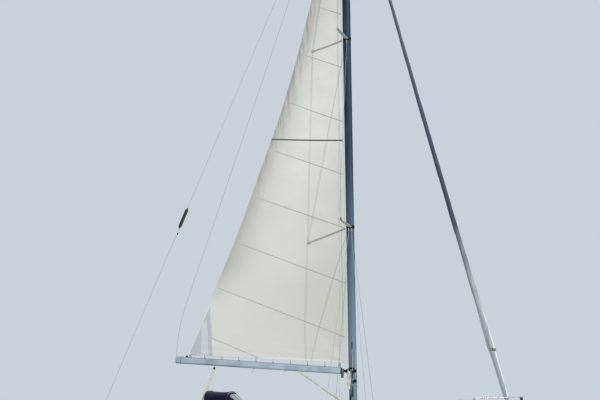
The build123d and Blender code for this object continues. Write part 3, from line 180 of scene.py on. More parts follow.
def painted(name, light, dark, patch, roughness, metallic=0.0, grain=0.002, depth=0.0002, **sockets):
    """Plain finish: two near colours in soft patches, uneven gloss and a fine grain."""
    mat, tree, bsdf = shader(name, roughness, metallic, **sockets)
    where = add(tree, "TexCoord", "Object")
    soft = add(tree, "TexNoise", "Fac", {"Vector": where, "Scale": 1 / patch, "Detail": 4.0})
    shade = add(tree, "MapRange", 0, {"Value": soft, "From Min": 0.35, "From Max": 0.65})
    wear = add(tree, "TexNoise", "Fac", {"Vector": where, "Scale": 1 / (patch * 0.3), "Detail": 4.0})
    gloss = {"Value": wear, "From Min": 0.3, "From Max": 0.7}
    gloss["To Min"] = roughness * 0.8
    gloss["To Max"] = min(roughness * 1.25, 1.0)
    pits = add(tree, "TexNoise", "Fac", {"Vector": where, "Scale": 1 / grain, "Detail": 2.0})
    finish_with(
        tree,
        bsdf,
        base_color=add(tree, "Mix", 2, {0: shade, 6: dark, 7: light}, data_type="RGBA"),
        roughness=add(tree, "MapRange", 0, gloss),
        normal=add(tree, "Bump", 0, {"Height": pits, "Distance": depth}),
    )
    return mat


# Plain finishes. Columns: name, light colour, dark colour, patch size, roughness, metallic,
# grain size, grain depth, with sizes in metres
PLAIN = (
    # Moulded and polished gelcoat: glossy cool white with hardly any grain
    ("gelcoat_smooth", "e9eae6", "dfe1dd", 0.60, 0.22, 0.0, 0.0200, 0.00010),
    # Tumbled aluminium castings: dull grey metal with fine pits
    ("cast_alloy", "b4b7bb", "999da2", 0.05, 0.38, 1.0, 0.0015, 0.00020),
    # Moulded plastic browned by the sun: dark, uneven and half matt
    ("dark_plastic", "3a2f26", "1f1a17", 0.08, 0.55, 0.0, 0.0020, 0.00020),
    # Electropolished stainless steel: bright, with sharp reflections
    ("polished_steel", "d3d6d9", "b7bbc0", 0.10, 0.12, 1.0, 0.0040, 0.00003),
    # Chromed winch drums: the brightest and smoothest metal aboard
    ("winch_chrome", "dcdee0", "c3c6ca", 0.05, 0.10, 1.0, 0.0040, 0.00003),
    # Cast bronze that has lain under water: brown gold, blotched and satin
    ("bronze", "a98a4e", "6f5c3a", 0.06, 0.42, 1.0, 0.0020, 0.00020),
    # Rolled bottom paint: navy, dead matt and a little rough
    ("antifouling", "22304f", "18223a", 0.30, 0.75, 0.0, 0.0030, 0.00040),
    # Sprayed paint on the cast drive leg: even grey, half matt
    ("saildrive_paint", "8a8d90", "727578", 0.10, 0.45, 0.0, 0.0030, 0.00020),
    # Brushed enamel on iron: grey green with a soft shine
    ("engine_enamel", "3f5d58", "2c4440", 0.10, 0.40, 0.0, 0.0030, 0.00020),
    # Stoved enamel on alloy: smooth, glossy white
    ("pedestal_enamel", "e4e5e3", "d4d6d4", 0.15, 0.25, 0.0, 0.0040, 0.00005),
    # Moulded rubber: near black and matt, with no clear highlight
    ("rubber", "1f2022", "141517", 0.05, 0.75, 0.0, 0.0015, 0.00020),
    # Moulded white plastic: even and half glossy, a little yellowed
    ("white_plastic", "dfe0dc", "cfd1cd", 0.06, 0.40, 0.0, 0.0020, 0.00010),
    # Moulded red plastic: even and half glossy
    ("red_plastic", "b3261f", "98201b", 0.05, 0.40, 0.0, 0.0020, 0.00010),
    # Extruded vinyl: navy with a soft shine along its rounded edge
    ("navy_stripe", "1f2d52", "18243f", 0.30, 0.40, 0.0, 0.0020, 0.00010),
    # Anodised sand castings: dark blue grey, matt, with no bare metal showing
    ("gooseneck_casting", "5a6670", "3f4a54", 0.04, 0.50, 0.0, 0.0015, 0.00020),
    # Sewn cloth sleeve under wound tape: grey brown and matt
    ("tip_sleeve", "8d877b", "6f695f", 0.04, 0.65, 0.0, 0.0020, 0.00020),
    # Solid teak under worn varnish: warm brown, coarse and half matt
    ("varnished_teak", "8e6d4b", "6f543a", 0.15, 0.60, 0.0, 0.0040, 0.00040),
    # Extruded alloy under weathered white paint: pale, with a soft highlight
    ("spreader_alloy", "d6d8d3", "b2b5b1", 0.08, 0.50, 0.0, 0.0020, 0.00010),
    # Drawn alloy tube under white paint: pale and smooth, half matt
    ("vang_alloy", "d6d8d0", "bcbfb8", 0.08, 0.50, 0.0, 0.0020, 0.00010),
    # Clear anodised extrusion: pale grey blue with a faint metal sheen
    ("boom_anodised", "afc1ce", "94a7b4", 0.35, 0.45, 0.3, 0.0030, 0.00010),
)
MAT = {}
for name, light, dark, patch, rough, metal, grain, depth in PLAIN:
    MAT[name] = painted(name, light, dark, patch, rough, metal, grain, depth)
# Hard anodised alloy: near black and matt, with hardly any highlight
MAT["black_fitting"] = painted("black_fitting", "0f1013", "08090b", 0.05, 0.7, specular_ior_level=0.15)

# The deck's edge rises by this share of each metre forward
SHEER_SLOPE = 0.0277


def hull_gelcoat():
    """Polished gelcoat: glossy white with a slow ripple, navy boot top and cove line, faint rust
    runs low down, and matt dark paint under water."""
    paint_top, boot_top = 0.035, 0.115
    cove_low, cove_high = 1.075, 1.092
    mat, tree, bsdf = shader("gelcoat_topsides", 0.2, coat_weight=0.4, coat_roughness=0.08)
    where = add(tree, "TexCoord", "Object")
    along_x = add(tree, "SeparateXYZ", "X", {0: where})
    height = add(tree, "SeparateXYZ", "Z", {0: where})
    tone_shift = add(tree, "TexNoise", "Fac", {"Vector": where, "Scale": 1 / (1200 * MM), "Detail": 4.0})
    tone_shift = add(tree, "MapRange", 0, {"Value": tone_shift, "From Min": 0.35, "From Max": 0.65})
    white = add(tree, "Mix", 2, {0: tone_shift, 6: "e2e4e0", 7: "eceee9"}, data_type="RGBA")
    drawn = add(tree, "Mapping", 0, {"Vector": where, "Scale": (9.0, 9.0, 0.7)})
    runs = add(tree, "TexNoise", "Fac", {"Vector": drawn, "Scale": 1 / (350 * MM), "Detail": 3.0})
    runs = add(tree, "MapRange", 0, {"Value": runs, "From Min": 0.52, "From Max": 0.72, "To Max": 0.35})
    low = {"Value": height, "From Min": 0.1, "From Max": 0.7, "To Min": 1.0, "To Max": 0.0}
    stain = add(tree, "Math", 0, {0: runs, 1: add(tree, "MapRange", 0, low)}, operation="MULTIPLY")
    topside = add(tree, "Mix", 2, {0: stain, 6: white, 7: "b9b39c"}, data_type="RGBA")
    navy = add(tree, "Math", 0, {0: height, 1: boot_top}, operation="LESS_THAN")
    bottom = add(tree, "Math", 0, {0: height, 1: paint_top}, operation="LESS_THAN")
    rise = add(tree, "Math", 0, {0: along_x, 1: SHEER_SLOPE}, operation="MULTIPLY")
    sheer = add(tree, "Math", 0, {0: height, 1: rise}, operation="SUBTRACT")
    above = add(tree, "Math", 0, {0: sheer, 1: cove_low}, operation="GREATER_THAN")
    below = add(tree, "Math", 0, {0: sheer, 1: cove_high}, operation="LESS_THAN")
    cove = add(tree, "Math", 0, {0: above, 1: below}, operation="MULTIPLY")
    lines = add(tree, "Math", 0, {0: navy, 1: cove}, operation="MAXIMUM")
    colour = add(tree, "Mix", 2, {0: lines, 6: topside, 7: "1d2b4d"}, data_type="RGBA")
    patchy = add(tree, "TexNoise", "Fac", {"Vector": where, "Scale": 1 / (200 * MM), "Detail": 4.0})
    paint = add(tree, "Mix", 2, {0: patchy, 6: "18223a", 7: "26355a"}, data_type="RGBA")
    gloss = add(tree, "MapRange", 0, {"Value": patchy, "From Min": 0.3, "To Min": 0.16, "To Max": 0.30})
    matt = add(tree, "Math", 0, {0: bottom, 1: 0.7}, operation="MULTIPLY")
    ripple = add(tree, "TexNoise", "Fac", {"Vector": where, "Scale": 1 / (350 * MM), "Detail": 2.0})
    finish_with(
        tree,
        bsdf,
        base_color=add(tree, "Mix", 2, {0: bottom, 6: colour, 7: paint}, data_type="RGBA"),
        roughness=add(tree, "Math", 0, {0: matt, 1: gloss}, operation="MAXIMUM"),
        normal=add(tree, "Bump", 0, {"Height": ripple, "Distance": 0.0015, "Strength": 0.5}),
    )
    return mat


def deck_gelcoat():
    """Moulded gelcoat, warm white; faces that look up carry a non-slip grain that takes dirt and
    dulls the shine. The grain is drawn three times coarser than the real one, so that it shows."""
    dot_pitch = 9 * MM
    mat, tree, bsdf = shader("gelcoat_deck", 0.35)
    where = add(tree, "TexCoord", "Object")
    facing = add(tree, "SeparateXYZ", "Z", {0: add(tree, "NewGeometry", "Normal")})
    up = add(tree, "MapRange", 0, {"Value": facing, "From Min": 0.93, "From Max": 0.97})
    soft = add(tree, "TexNoise", "Fac", {"Vector": where, "Scale": 1 / (700 * MM), "Detail": 4.0})
    soft = add(tree, "MapRange", 0, {"Value": soft, "From Min": 0.35, "From Max": 0.65})
    white = add(tree, "Mix", 2, {0: soft, 6: "dedcd2", 7: "e9e7df"}, data_type="RGBA")
    marking = add(tree, "TexNoise", "Fac", {"Vector": where, "Scale": 1 / (250 * MM), "Detail": 4.0})
    marking = add(tree, "MapRange", 0, {"Value": marking, "From Min": 0.3, "From Max": 0.75})
    tread = add(tree, "Mix", 2, {0: marking, 6: "c9c3b2", 7: "d6d1c2"}, data_type="RGBA")
    dots = add(tree, "TexVoronoi", "Distance", {"Vector": where, "Scale": 1 / dot_pitch})
    raised = add(tree, "Math", 0, {0: dots, 1: up}, operation="MULTIPLY")
    finish_with(
        tree,
        bsdf,
        base_color=add(tree, "Mix", 2, {0: up, 6: white, 7: tread}, data_type="RGBA"),
        roughness=add(tree, "MapRange", 0, {"Value": up, "To Min": 0.3, "To Max": 0.72}),
        normal=add(tree, "Bump", 0, {"Height": raised, "Distance": 1.2 * MM}),
    )
    return mat


def mast_anodising():
    """Dark anodised extrusion, satin, with painted light that turns it pale grey blue towards the deck
    in long streaks down its length."""
    sky_lit_below, dark_above = 3.3, 7.6
    mat, tree, bsdf = shader("mast_anodised", 0.5, specular_ior_level=0.25)
    where = add(tree, "TexCoord", "Object")
    drawn = add(tree, "Mapping", 0, {"Vector": where, "Scale": (30.0, 30.0, 1.0)})
    streaks = add(tree, "TexNoise", "Fac", {"Vector": drawn, "Scale": 1 / (600 * MM), "Detail": 4.0})
    uneven = add(tree, "MapRange", 0, {"Value": streaks, "To Min": -0.8, "To Max": 0.8})
    # Painted light: pale grey blue towards the deck, the extrusion's own dark colour higher up
    height = add(tree, "SeparateXYZ", "Z", {0: where})
    height = add(tree, "Math", 0, {0: height, 1: uneven}, operation="ADD")
    height = add(tree, "MapRange", 0, {"Value": height, "From Min": sky_lit_below, "From Max": dark_above})
    colour = add(tree, "Mix", 2, {0: height, 6: "677f90", 7: "182d42"}, data_type="RGBA")
    worn = add(tree, "MapRange", 0, {"Value": streaks, "From Min": 0.5, "From Max": 0.8, "To Max": 0.22})
    gloss = {"Value": streaks, "From Min": 0.3, "From Max": 0.7, "To Min": 0.4, "To Max": 0.65}
    finish_with(
        tree,
        bsdf,
        base_color=add(tree, "Mix", 2, {0: worn, 6: colour, 7: "aab4bd"}, data_type="RGBA"),
        roughness=add(tree, "MapRange", 0, gloss),
    )
    return mat


def wire_finish():
    """Stranded stainless wire: a diagonal lay of bright and shaded strands, drawn about three
    times coarser than the real one, so that it shows."""
    lay_pitch = 6 * MM
    mat, tree, bsdf = shader("stranded_steel", 0.4, 0.5)
    where = add(tree, "TexCoord", "Object")
    wave = {"Vector": where, "Scale": math.pi / (10 * lay_pitch)}
    lay = add(tree, "TexWave", "Fac", wave, bands_direction="DIAGONAL")
    finish_with(
        tree,
        bsdf,
        base_color=add(tree, "Mix", 2, {0: lay, 6: "7f8489", 7: "c3c7ca"}, data_type="RGBA"),
        normal=add(tree, "Bump", 0, {"Height": lay, "Distance": 0.6 * MM}),
    )
    return mat


def threads(tree, where, pitch, first, second):
    """Crossing threads of a woven cloth, as a height."""
    wave = {"Vector": where, "Scale": math.pi / (10 * pitch)}
    warp = add(tree, "TexWave", "Fac", wave, bands_direction=first)
    weft = add(tree, "TexWave", "Fac", wave, bands_direction=second)
    return add(tree, "Math", 0, {0: warp, 1: weft}, operation="MULTIPLY")


def sailcloth(name, light, dark, worn_hex, marking=0.0):
    """Woven polyester, stiff and matt: soft mottling, faint creases, greyer low down, and greyer with dark
    streaks along the leech high up. Its threads are drawn four times coarser than the real ones, so that
    they show."""
    worn_below, clean_above = 5.6, 10.6
    streak_from, streak_full = 5.6, 8.5
    streak_width = 0.30
    grey_from, grey_full = 4.0, 5.0
    grey_width = 1.4
    thread_pitch = 1.6 * MM
    mat, tree, bsdf = shader(name, 0.62, sheen_weight=0.15, sheen_roughness=0.5)
    where = add(tree, "TexCoord", "Object")
    mottle = add(tree, "TexNoise", "Fac", {"Vector": where, "Scale": 1 / (550 * MM), "Detail": 5.0})
    mottle = add(tree, "MapRange", 0, {"Value": mottle, "From Min": 0.32, "From Max": 0.68})
    colour = add(tree, "Mix", 2, {0: mottle, 6: dark, 7: light}, data_type="RGBA")
    height = add(tree, "SeparateXYZ", "Z", {0: where})
    uneven = add(tree, "TexNoise", "Fac", {"Vector": where, "Scale": 1 / (1600 * MM), "Detail": 3.0})
    uneven = add(tree, "Math", 0, {0: uneven, 1: 3.0}, operation="MULTIPLY")
    lifted = add(tree, "Math", 0, {0: height, 1: uneven}, operation="ADD")
    fade = {"Value": lifted, "From Min": worn_below, "From Max": clean_above, "To Min": 1.0, "To Max": 0.0}
    worn = add(tree, "MapRange", 0, fade)
    colour = add(tree, "Mix", 2, {0: worn, 6: colour, 7: worn_hex}, data_type="RGBA")
    if marking:
        # Greyer towards the leech, high up
        edge = add(tree, "Attribute", "Fac", attribute_name="leech_distance")
        near = {"Value": edge, "From Min": 0.0, "From Max": grey_width, "To Min": 1.0, "To Max": 0.0}
        near = add(tree, "MapRange", 0, near)
        near = add(tree, "Math", 0, {0: near, 1: 3.0}, operation="POWER")
        high = {"Value": height, "From Min": grey_from, "From Max": grey_full, "To Max": 0.7}
        tone_shift = add(tree, "Math", 0, {0: near, 1: add(tree, "MapRange", 0, high)}, operation="MULTIPLY")
        colour = add(tree, "Mix", 2, {0: tone_shift, 6: colour, 7: "8e9089"}, data_type="RGBA")
        # Dark brown streaks along the leech, high up
        drawn = add(tree, "Mapping", 0, {"Vector": where, "Scale": (14.0, 1.0, 1.1)})
        streak = {"Vector": drawn, "Scale": 1 / (900 * MM), "Detail": 5.0, "Roughness": 0.7}
        streak = add(tree, "TexNoise", "Fac", streak)
        mark = {"Value": streak, "From Min": 0.42, "From Max": 0.72, "To Max": marking}
        streak = add(tree, "MapRange", 0, mark)
        high = add(tree, "MapRange", 0, {"Value": height, "From Min": streak_from, "From Max": streak_full})
        near = {"Value": edge, "From Min": 0.02, "From Max": streak_width, "To Min": 1.0, "To Max": 0.0}
        near = add(tree, "Math", 0, {0: add(tree, "MapRange", 0, near), 1: high}, operation="MULTIPLY")
        leech_streaks = add(tree, "Math", 0, {0: streak, 1: near}, operation="MULTIPLY")
        colour = add(tree, "Mix", 2, {0: leech_streaks, 6: colour, 7: "5f5640"}, data_type="RGBA")
    drawn = add(tree, "Mapping", 0, {"Vector": where, "Scale": (1.0, 1.0, 2.2)})
    creases = {"Vector": drawn, "Scale": 1 / (220 * MM), "Detail": 5.0, "Roughness": 0.55}
    creases = add(tree, "TexNoise", "Fac", creases)
    folded = add(tree, "Bump", 0, {"Height": creases, "Distance": 6 * MM, "Strength": 0.45})
    woven = {"Height": threads(tree, where, thread_pitch, "X", "Z"), "Distance": 0.2 * MM}
    woven["Strength"] = 0.6
    woven["Normal"] = folded
    finish_with(tree, bsdf, base_color=colour, normal=add(tree, "Bump", 0, woven))
    return mat


def furled_cloth():
    """Woven sailcloth rolled tight, matt: light blue grey low down and dark slate above as painted shade,
    with painted highlights at the roll's sides low down, painted shade along its spiral edge, and creases
    along it."""
    mat, tree, bsdf = shader("furled_cloth", 0.68, sheen_weight=0.2)
    where = add(tree, "TexCoord", "Object")
    patchy = add(tree, "TexNoise", "Fac", {"Vector": where, "Scale": 1 / (500 * MM), "Detail": 4.0})
    patchy = add(tree, "MapRange", 0, {"Value": patchy, "To Min": -1.0, "To Max": 1.0})
    height = add(tree, "SeparateXYZ", "Z", {0: where})
    height = add(tree, "Math", 0, {0: height, 1: patchy}, operation="ADD")
    band = add(tree, "MapRange", 0, {"Value": height, "From Min": 3.0, "From Max": 4.4})
    colour = add(tree, "Mix", 2, {0: band, 6: "97a8b5", 7: "a6b2b8"}, data_type="RGBA")
    # Painted shade: the roll turns dark slate from here up and stays dark to the head
    band = add(tree, "MapRange", 0, {"Value": height, "From Min": 4.5, "From Max": 6.0})
    colour = add(tree, "Mix", 2, {0: band, 6: colour, 7: "2d4154"}, data_type="RGBA")
    band = add(tree, "MapRange", 0, {"Value": height, "From Min": 7.8, "From Max": 10.6})
    colour = add(tree, "Mix", 2, {0: band, 6: colour, 7: "4b5864"}, data_type="RGBA")
    # Painted highlight: near white at the fore and aft sides of the roll, low down
    side = add(tree, "Attribute", "Fac", attribute_name="roll_side")
    side = add(tree, "MapRange", 0, {"Value": side, "From Min": 0.55, "From Max": 0.8})
    low = {"Value": height, "From Min": 3.4, "From Max": 4.6, "To Min": 1.0, "To Max": 0.0}
    side_highlight = add(tree, "Math", 0, {0: side, 1: add(tree, "MapRange", 0, low)}, operation="MULTIPLY")
    colour = add(tree, "Mix", 2, {0: side_highlight, 6: colour, 7: "eef1f2"}, data_type="RGBA")
    # Painted shade along the spiral edge of the cloth, where one layer steps over the next
    edge = add(tree, "Attribute", "Fac", attribute_name="roll_edge")
    edge = add(tree, "MapRange", 0, {"Value": edge, "To Max": 0.45})
    drawn = add(tree, "Mapping", 0, {"Vector": where, "Scale": (1.0, 1.0, 0.35)})
    creases = add(tree, "TexNoise", "Fac", {"Vector": drawn, "Scale": 1 / (90 * MM), "Detail": 4.0})
    finish_with(
        tree,
        bsdf,
        base_color=add(tree, "Mix", 2, {0: edge, 6: colour, 7: "4b5866"}, data_type="RGBA"),
        normal=add(tree, "Bump", 0, {"Height": creases, "Distance": 10 * MM, "Strength": 0.6}),
    )
    return mat


def canvas(name, light, dark):
    """Woven acrylic canvas: matt, with a plain weave that is drawn twice as coarse as the real one
    so that it shows, and faded along its folds."""
    thread_pitch = 1.1 * MM
    mat, tree, bsdf = shader(name, 0.9, sheen_weight=0.08, sheen_roughness=0.4, specular_ior_level=0.2)
    where = add(tree, "TexCoord", "Object")
    faded = add(tree, "TexNoise", "Fac", {"Vector": where, "Scale": 1 / (160 * MM), "Detail": 5.0})
    faded = add(tree, "MapRange", 0, {"Value": faded, "From Min": 0.35, "From Max": 0.7})
    woven = {"Height": threads(tree, where, thread_pitch, "X", "Y"), "Distance": 0.3 * MM}
    finish_with(
        tree,
        bsdf,
        base_color=add(tree, "Mix", 2, {0: faded, 6: dark, 7: light}, data_type="RGBA"),
        normal=add(tree, "Bump", 0, woven),
    )
    return mat


def clear_sheet(name, light, dark, roughness, transmission):
    """Cast acrylic or flexible vinyl sheet: see-through and glossy, with a slow ripple."""
    mat, tree, bsdf = shader(name, roughness, transmission_weight=transmission, ior=1.49, coat_weight=0.3)
    where = add(tree, "TexCoord", "Object")
    haze = add(tree, "TexNoise", "Fac", {"Vector": where, "Scale": 1 / (120 * MM), "Detail": 4.0})
    haze = add(tree, "MapRange", 0, {"Value": haze, "From Min": 0.3, "From Max": 0.7})
    ripple = add(tree, "TexNoise", "Fac", {"Vector": where, "Scale": 1 / (140 * MM), "Detail": 2.0})
    finish_with(
        tree,
        bsdf,
        base_color=add(tree, "Mix", 2, {0: haze, 6: light, 7: dark}, data_type="RGBA"),
        normal=add(tree, "Bump", 0, {"Height": ripple, "Distance": 2 * MM, "Strength": 0.4}),
    )
    return mat


def rope_finish(name, base, fleck):
    """Braided polyester rope: soft and matt, a diamond braid from the tube's own map with a
    coloured fleck. The strands are drawn three times coarser than the real ones, to show."""
    strand = 8 * MM
    mat, tree, bsdf = shader(name, 0.8, sheen_weight=0.3)
    where = add(tree, "TexCoord", "UV")
    lays = []
    for lean in (0.5, -0.5):
        leant = add(tree, "Mapping", 0, {"Vector": where, "Scale": (lean, 1.0, 1.0)})
        wave = {"Vector": leant, "Scale": math.pi / (10 * strand)}
        lays.append(add(tree, "TexWave", "Fac", wave, bands_direction="DIAGONAL"))
    braid = add(tree, "Math", 0, {0: lays[0], 1: lays[1]}, operation="MULTIPLY")
    marks = add(tree, "TexNoise", "Fac", {"Vector": where, "Scale": 1 / (strand * 2.2), "Detail": 1.0})
    marks = add(tree, "MapRange", 0, {"Value": marks, "From Min": 0.56, "From Max": 0.6})
    colour = add(tree, "Mix", 2, {0: marks, 6: base, 7: fleck}, data_type="RGBA")
    # Painted shade: the gaps between the strands darken towards grey
    gap_shade = add(tree, "MapRange", 0, {"Value": braid, "From Max": 0.25, "To Min": 0.3, "To Max": 0.0})
    finish_with(
        tree,
        bsdf,
        base_color=add(tree, "Mix", 2, {0: gap_shade, 6: colour, 7: "77756e"}, data_type="RGBA"),
        normal=add(tree, "Bump", 0, {"Height": braid, "Distance": 1.2 * MM}),
    )
    return mat


def teak():
    """Sawn teak slats, oiled: brown with a silver cast and fine grain, between dark caulking."""
    slat, caulk = 45 * MM, 6 * MM
    mat, tree, bsdf = shader("teak_slats", 0.7)
    where = add(tree, "TexCoord", "Object")
    drawn = add(tree, "Mapping", 0, {"Vector": where, "Scale": (1.0, 14.0, 14.0)})
    long_grain = {"Vector": drawn, "Scale": 1 / (200 * MM), "Detail": 6.0, "Roughness": 0.7}
    grain = add(tree, "TexNoise", "Fac", long_grain)
    shade = add(tree, "MapRange", 0, {"Value": grain, "From Min": 0.3, "From Max": 0.7})
    wood = add(tree, "Mix", 2, {0: shade, 6: "7d6247", 7: "a68a68"}, data_type="RGBA")
    across = add(tree, "SeparateXYZ", "Y", {0: where})
    across = add(tree, "Math", 0, {0: across, 1: slat}, operation="DIVIDE")
    across = add(tree, "Math", 0, {0: across}, operation="FRACT")
    across = add(tree, "Math", 0, {0: across, 1: 0.5}, operation="SUBTRACT")
    across = add(tree, "Math", 0, {0: across}, operation="ABSOLUTE")
    seam = add(tree, "Math", 0, {0: across, 1: 0.5 - caulk / slat / 2}, operation="GREATER_THAN")
    sunk = add(tree, "Math", 0, {0: grain, 1: seam}, operation="SUBTRACT")
    finish_with(
        tree,
        bsdf,
        base_color=add(tree, "Mix", 2, {0: seam, 6: wood, 7: "1b1b1b"}, data_type="RGBA"),
        normal=add(tree, "Bump", 0, {"Height": sunk, "Distance": 0.8 * MM}),
    )
    return mat


MAT["gelcoat_topsides"] = hull_gelcoat()
MAT["gelcoat_deck"] = deck_gelcoat()
MAT["mast_anodised"] = mast_anodising()
MAT["stranded_steel"] = wire_finish()
# The sail's own cloth: warm white, mottled, and greyer with dark streaks along the leech
MAT["sailcloth"] = sailcloth("sailcloth", "edeee7", "e2e5de", "d2d5ce", 0.85)
# Faded blue cloth doubled over the clew: a cool grey patch
MAT["patch_cloth"] = sailcloth("patch_cloth", "b2bdc9", "a8b3c0", "b0bac4")
# Newer cloth sewn on that patch: a paler stripe
MAT["stripe_cloth"] = sailcloth("stripe_cloth", "cdd2d5", "c4cacd", "c8ced1")
# Tape folded over the luff and foot: the palest cloth of the sail
MAT["pale_cloth"] = sailcloth("pale_cloth", "e0e3e3", "d7dbdb", "d9dddd")
# Doubled cloth at the tack and head: a shade greyer than the sail
MAT["tack_cloth"] = sailcloth("tack_cloth", "d6dad5", "c9cec9", "d2d6d1")
# Overlapped and sewn panel edges: thin grey lines, the stitching with painted shade where the doubled cloth
# lets less light through
MAT["seam_tape"] = sailcloth("seam_tape", "c0c2ba", "a6a8a1", "b0b2ab")
# Batten pocket of dark tape: one dark line across the sail
MAT["batten_tape"] = sailcloth("batten_tape", "4b4c4b", "353636", "454645")
MAT["furled_cloth"] = furled_cloth()
# Canvas of the hood: deep navy, nearly black in shade
MAT["navy_canvas"] = canvas("navy_canvas", "110f33", "0a0920")
# Bound edges of the hood: a paler violet blue line, which is a painted highlight along them
MAT["navy_binding"] = canvas("navy_binding", "4f4a80", "38355f")
# Flexible vinyl, a little clouded: clear with a soft haze
MAT["clear_vinyl"] = clear_sheet("clear_vinyl", "c9d2d2", "b8c3c4", 0.12, 0.75)
# Cast acrylic with a smoky tint: dark and glossy, hardly see-through
MAT["smoked_acrylic"] = clear_sheet("smoked_acrylic", "26292d", "1d2023", 0.06, 0.35)
# White braid, greyed a little by use
MAT["white_rope"] = rope_finish("white_rope", "f0eee6", "dedcd2")
# White braid with blue flecks, which mark a halyard or outhaul
MAT["blue_fleck_rope"] = rope_finish("blue_fleck_rope", "e3e2da", "3a568c")
# Old grey braid, thin and dull against the sky
MAT["grey_rope"] = rope_finish("grey_rope", "9b9c98", "7d7e7b")
# Black braid: dark wraps with little shine
MAT["black_rope"] = rope_finish("black_rope", "2b2c2e", "47494b")
MAT["teak_slats"] = teak()

# Finish of each CAD node
NODE_FINISH = {
    "hull": "gelcoat_topsides",
    "deck": "gelcoat_deck",
    "coachroof": "gelcoat_deck",
    "cockpit": "gelcoat_deck",
    "coamings": "gelcoat_smooth",
    "keel": "antifouling",
    "rudder": "antifouling",
    "saildrive_leg": "saildrive_paint",
    "engine": "engine_enamel",
    "propeller": "bronze",
    "cabin_windows": "smoked_acrylic",
    "mast": "mast_anodised",
    "mast_step": "cast_alloy",
    "masthead": "cast_alloy",
    "spreader_brackets": "black_fitting",
    "spreaders": "spreader_alloy",
    "cap_shrouds": "stranded_steel",
    "intermediate_shrouds": "stranded_steel",
    "lower_shrouds": "stranded_steel",
    "forestay": "stranded_steel",
    "backstay": "stranded_steel",
    "radar_reflector": "dark_plastic",
    "gooseneck_bracket": "black_fitting",
    "gooseneck_toggle": "black_fitting",
    "boom": "boom_anodised",
    "boom_end": "boom_anodised",
    "sail_posts": "cast_alloy",
    "vang": "vang_alloy",
    "furler_drum": "black_fitting",
    "chainplates": "polished_steel",
    "stem_fitting": "polished_steel",
    "stern_plate": "polished_steel",
    "winches": "winch_chrome",
    "mooring_cleats": "cast_alloy",
    "stanchions": "polished_steel",
    "pulpit": "polished_steel",
    "pushpit": "polished_steel",
    "steering_pedestal": "pedestal_enamel",
    "steering_wheel": "polished_steel",
    "mainsheet_traveller": "black_fitting",
    "companionway_hatch": "smoked_acrylic",
    "fore_hatch": "smoked_acrylic",
    "hatch_garage": "gelcoat_smooth",
    "anchor_locker_lid": "gelcoat_deck",
    "locker_lid_port": "teak_slats",
    "locker_lid_stbd": "teak_slats",
}
for node, finish in NODE_FINISH.items():
    data = NODES[node].data
    data.materials.clear()
    data.materials.append(MAT[finish])

# Mesh making


def place(name, data, body):
    """Object with this mesh at the origin; it rides on a body where one is given."""
    obj = bpy.data.objects.new(name, data)
    bpy.context.scene.collection.objects.link(obj)
    if body:
        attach(obj, body)
    return obj


def mesh_piece(name, verts, faces, materials, body, slots=None, smooth=True, uvs=None):
    """New piece from points and faces, with a material, or one for each slot."""
    data = bpy.data.meshes.new(name)
    data.from_pydata([tuple(v) for v in verts], [], faces)
    for mat in materials if isinstance(materials, (list, tuple)) else [materials]:
        data.materials.append(MAT[mat])
    if slots is not None:
        data.polygons.foreach_set("material_index", slots)
    if smooth:
        data.polygons.foreach_set("use_smooth", [True] * len(data.polygons))
    if uvs is not None:
        layer = data.uv_layers.new(name="map")
        loops = np.zeros(len(data.loops), int)
        data.loops.foreach_get("vertex_index", loops)
        layer.data.foreach_set("uv", np.array(uvs, float)[loops].ravel())
    data.validate()
    data.update()
    return place(name, data, body)


def point_values(obj, name, values):
    """Keep a value for each point of a mesh, for its material to read."""
    layer = obj.data.attributes.new(name, "FLOAT", "POINT")
    layer.data.foreach_set("value", values)


def grid_faces(rows, columns, start=0, closed=False):
    """Quads over rows by columns of points; closed joins the last column to the first."""
    faces = []
    across = columns if closed else columns - 1
    for i in range(rows - 1):
        for j in range(across):
            k = (j + 1) % columns
            faces.append(
                (
                    start + i * columns + j,
                    start + i * columns + k,
                    start + (i + 1) * columns + k,
                    start + (i + 1) * columns + j,
                )
            )
    return faces


def capped_faces(rows, sides, start=0):
    """Quads of a closed tube of rows, with a face at each end."""
    faces = grid_faces(rows, sides, start, closed=True)
    last = start + (rows - 1) * sides
    faces.append(tuple(start + j for j in reversed(range(sides))))
    faces.append(tuple(last + j for j in range(sides)))
    return faces


def spread(first, last, count):
    """Even steps from first to last."""
    return [first + (last - first) * i / (count - 1) for i in range(count)]


def smooth_line(points, per_run=6):
    """Smooth curve through the points, with this many steps from one to the next."""
    pts = [Vector(p) for p in points]
    ends = [pts[0] * 2 - pts[1]] + pts + [pts[-1] * 2 - pts[-2]]
    line = []
    for a, b, c, d in zip(ends, ends[1:], ends[2:], ends[3:]):
        bend = 2 * a - 5 * b + 4 * c - d
        twist = 3 * b - a - 3 * c + d
        for k in range(per_run):
            t = k / per_run
            line.append(0.5 * (2 * b + (c - a) * t + bend * t * t + twist * t**3))
    line.append(pts[-1])
    return line


def loop_round(centre, across, up, count):
    """Closed oval line round a centre, with its two half axes."""
    return [centre + across * math.cos(a) + up * math.sin(a) for a in spread(0, 2 * math.pi, count)]


def rounded_loop(x0, x1, z0, z1, corner, steps):
    """Closed line round a rectangle with rounded corners, as (x, z)."""
    centres = (
        (x1 - corner, z1 - corner),
        (x0 + corner, z1 - corner),
        (x0 + corner, z0 + corner),
        (x1 - corner, z0 + corner),
    )
    loop = []
    for quarter, (x, z) in enumerate(centres):
        for k in range(steps + 1):
            angle = math.radians(90 * quarter + 90 * k / steps)
            loop.append((x + corner * math.cos(angle), z + corner * math.sin(angle)))
    return loop + [loop[0]]


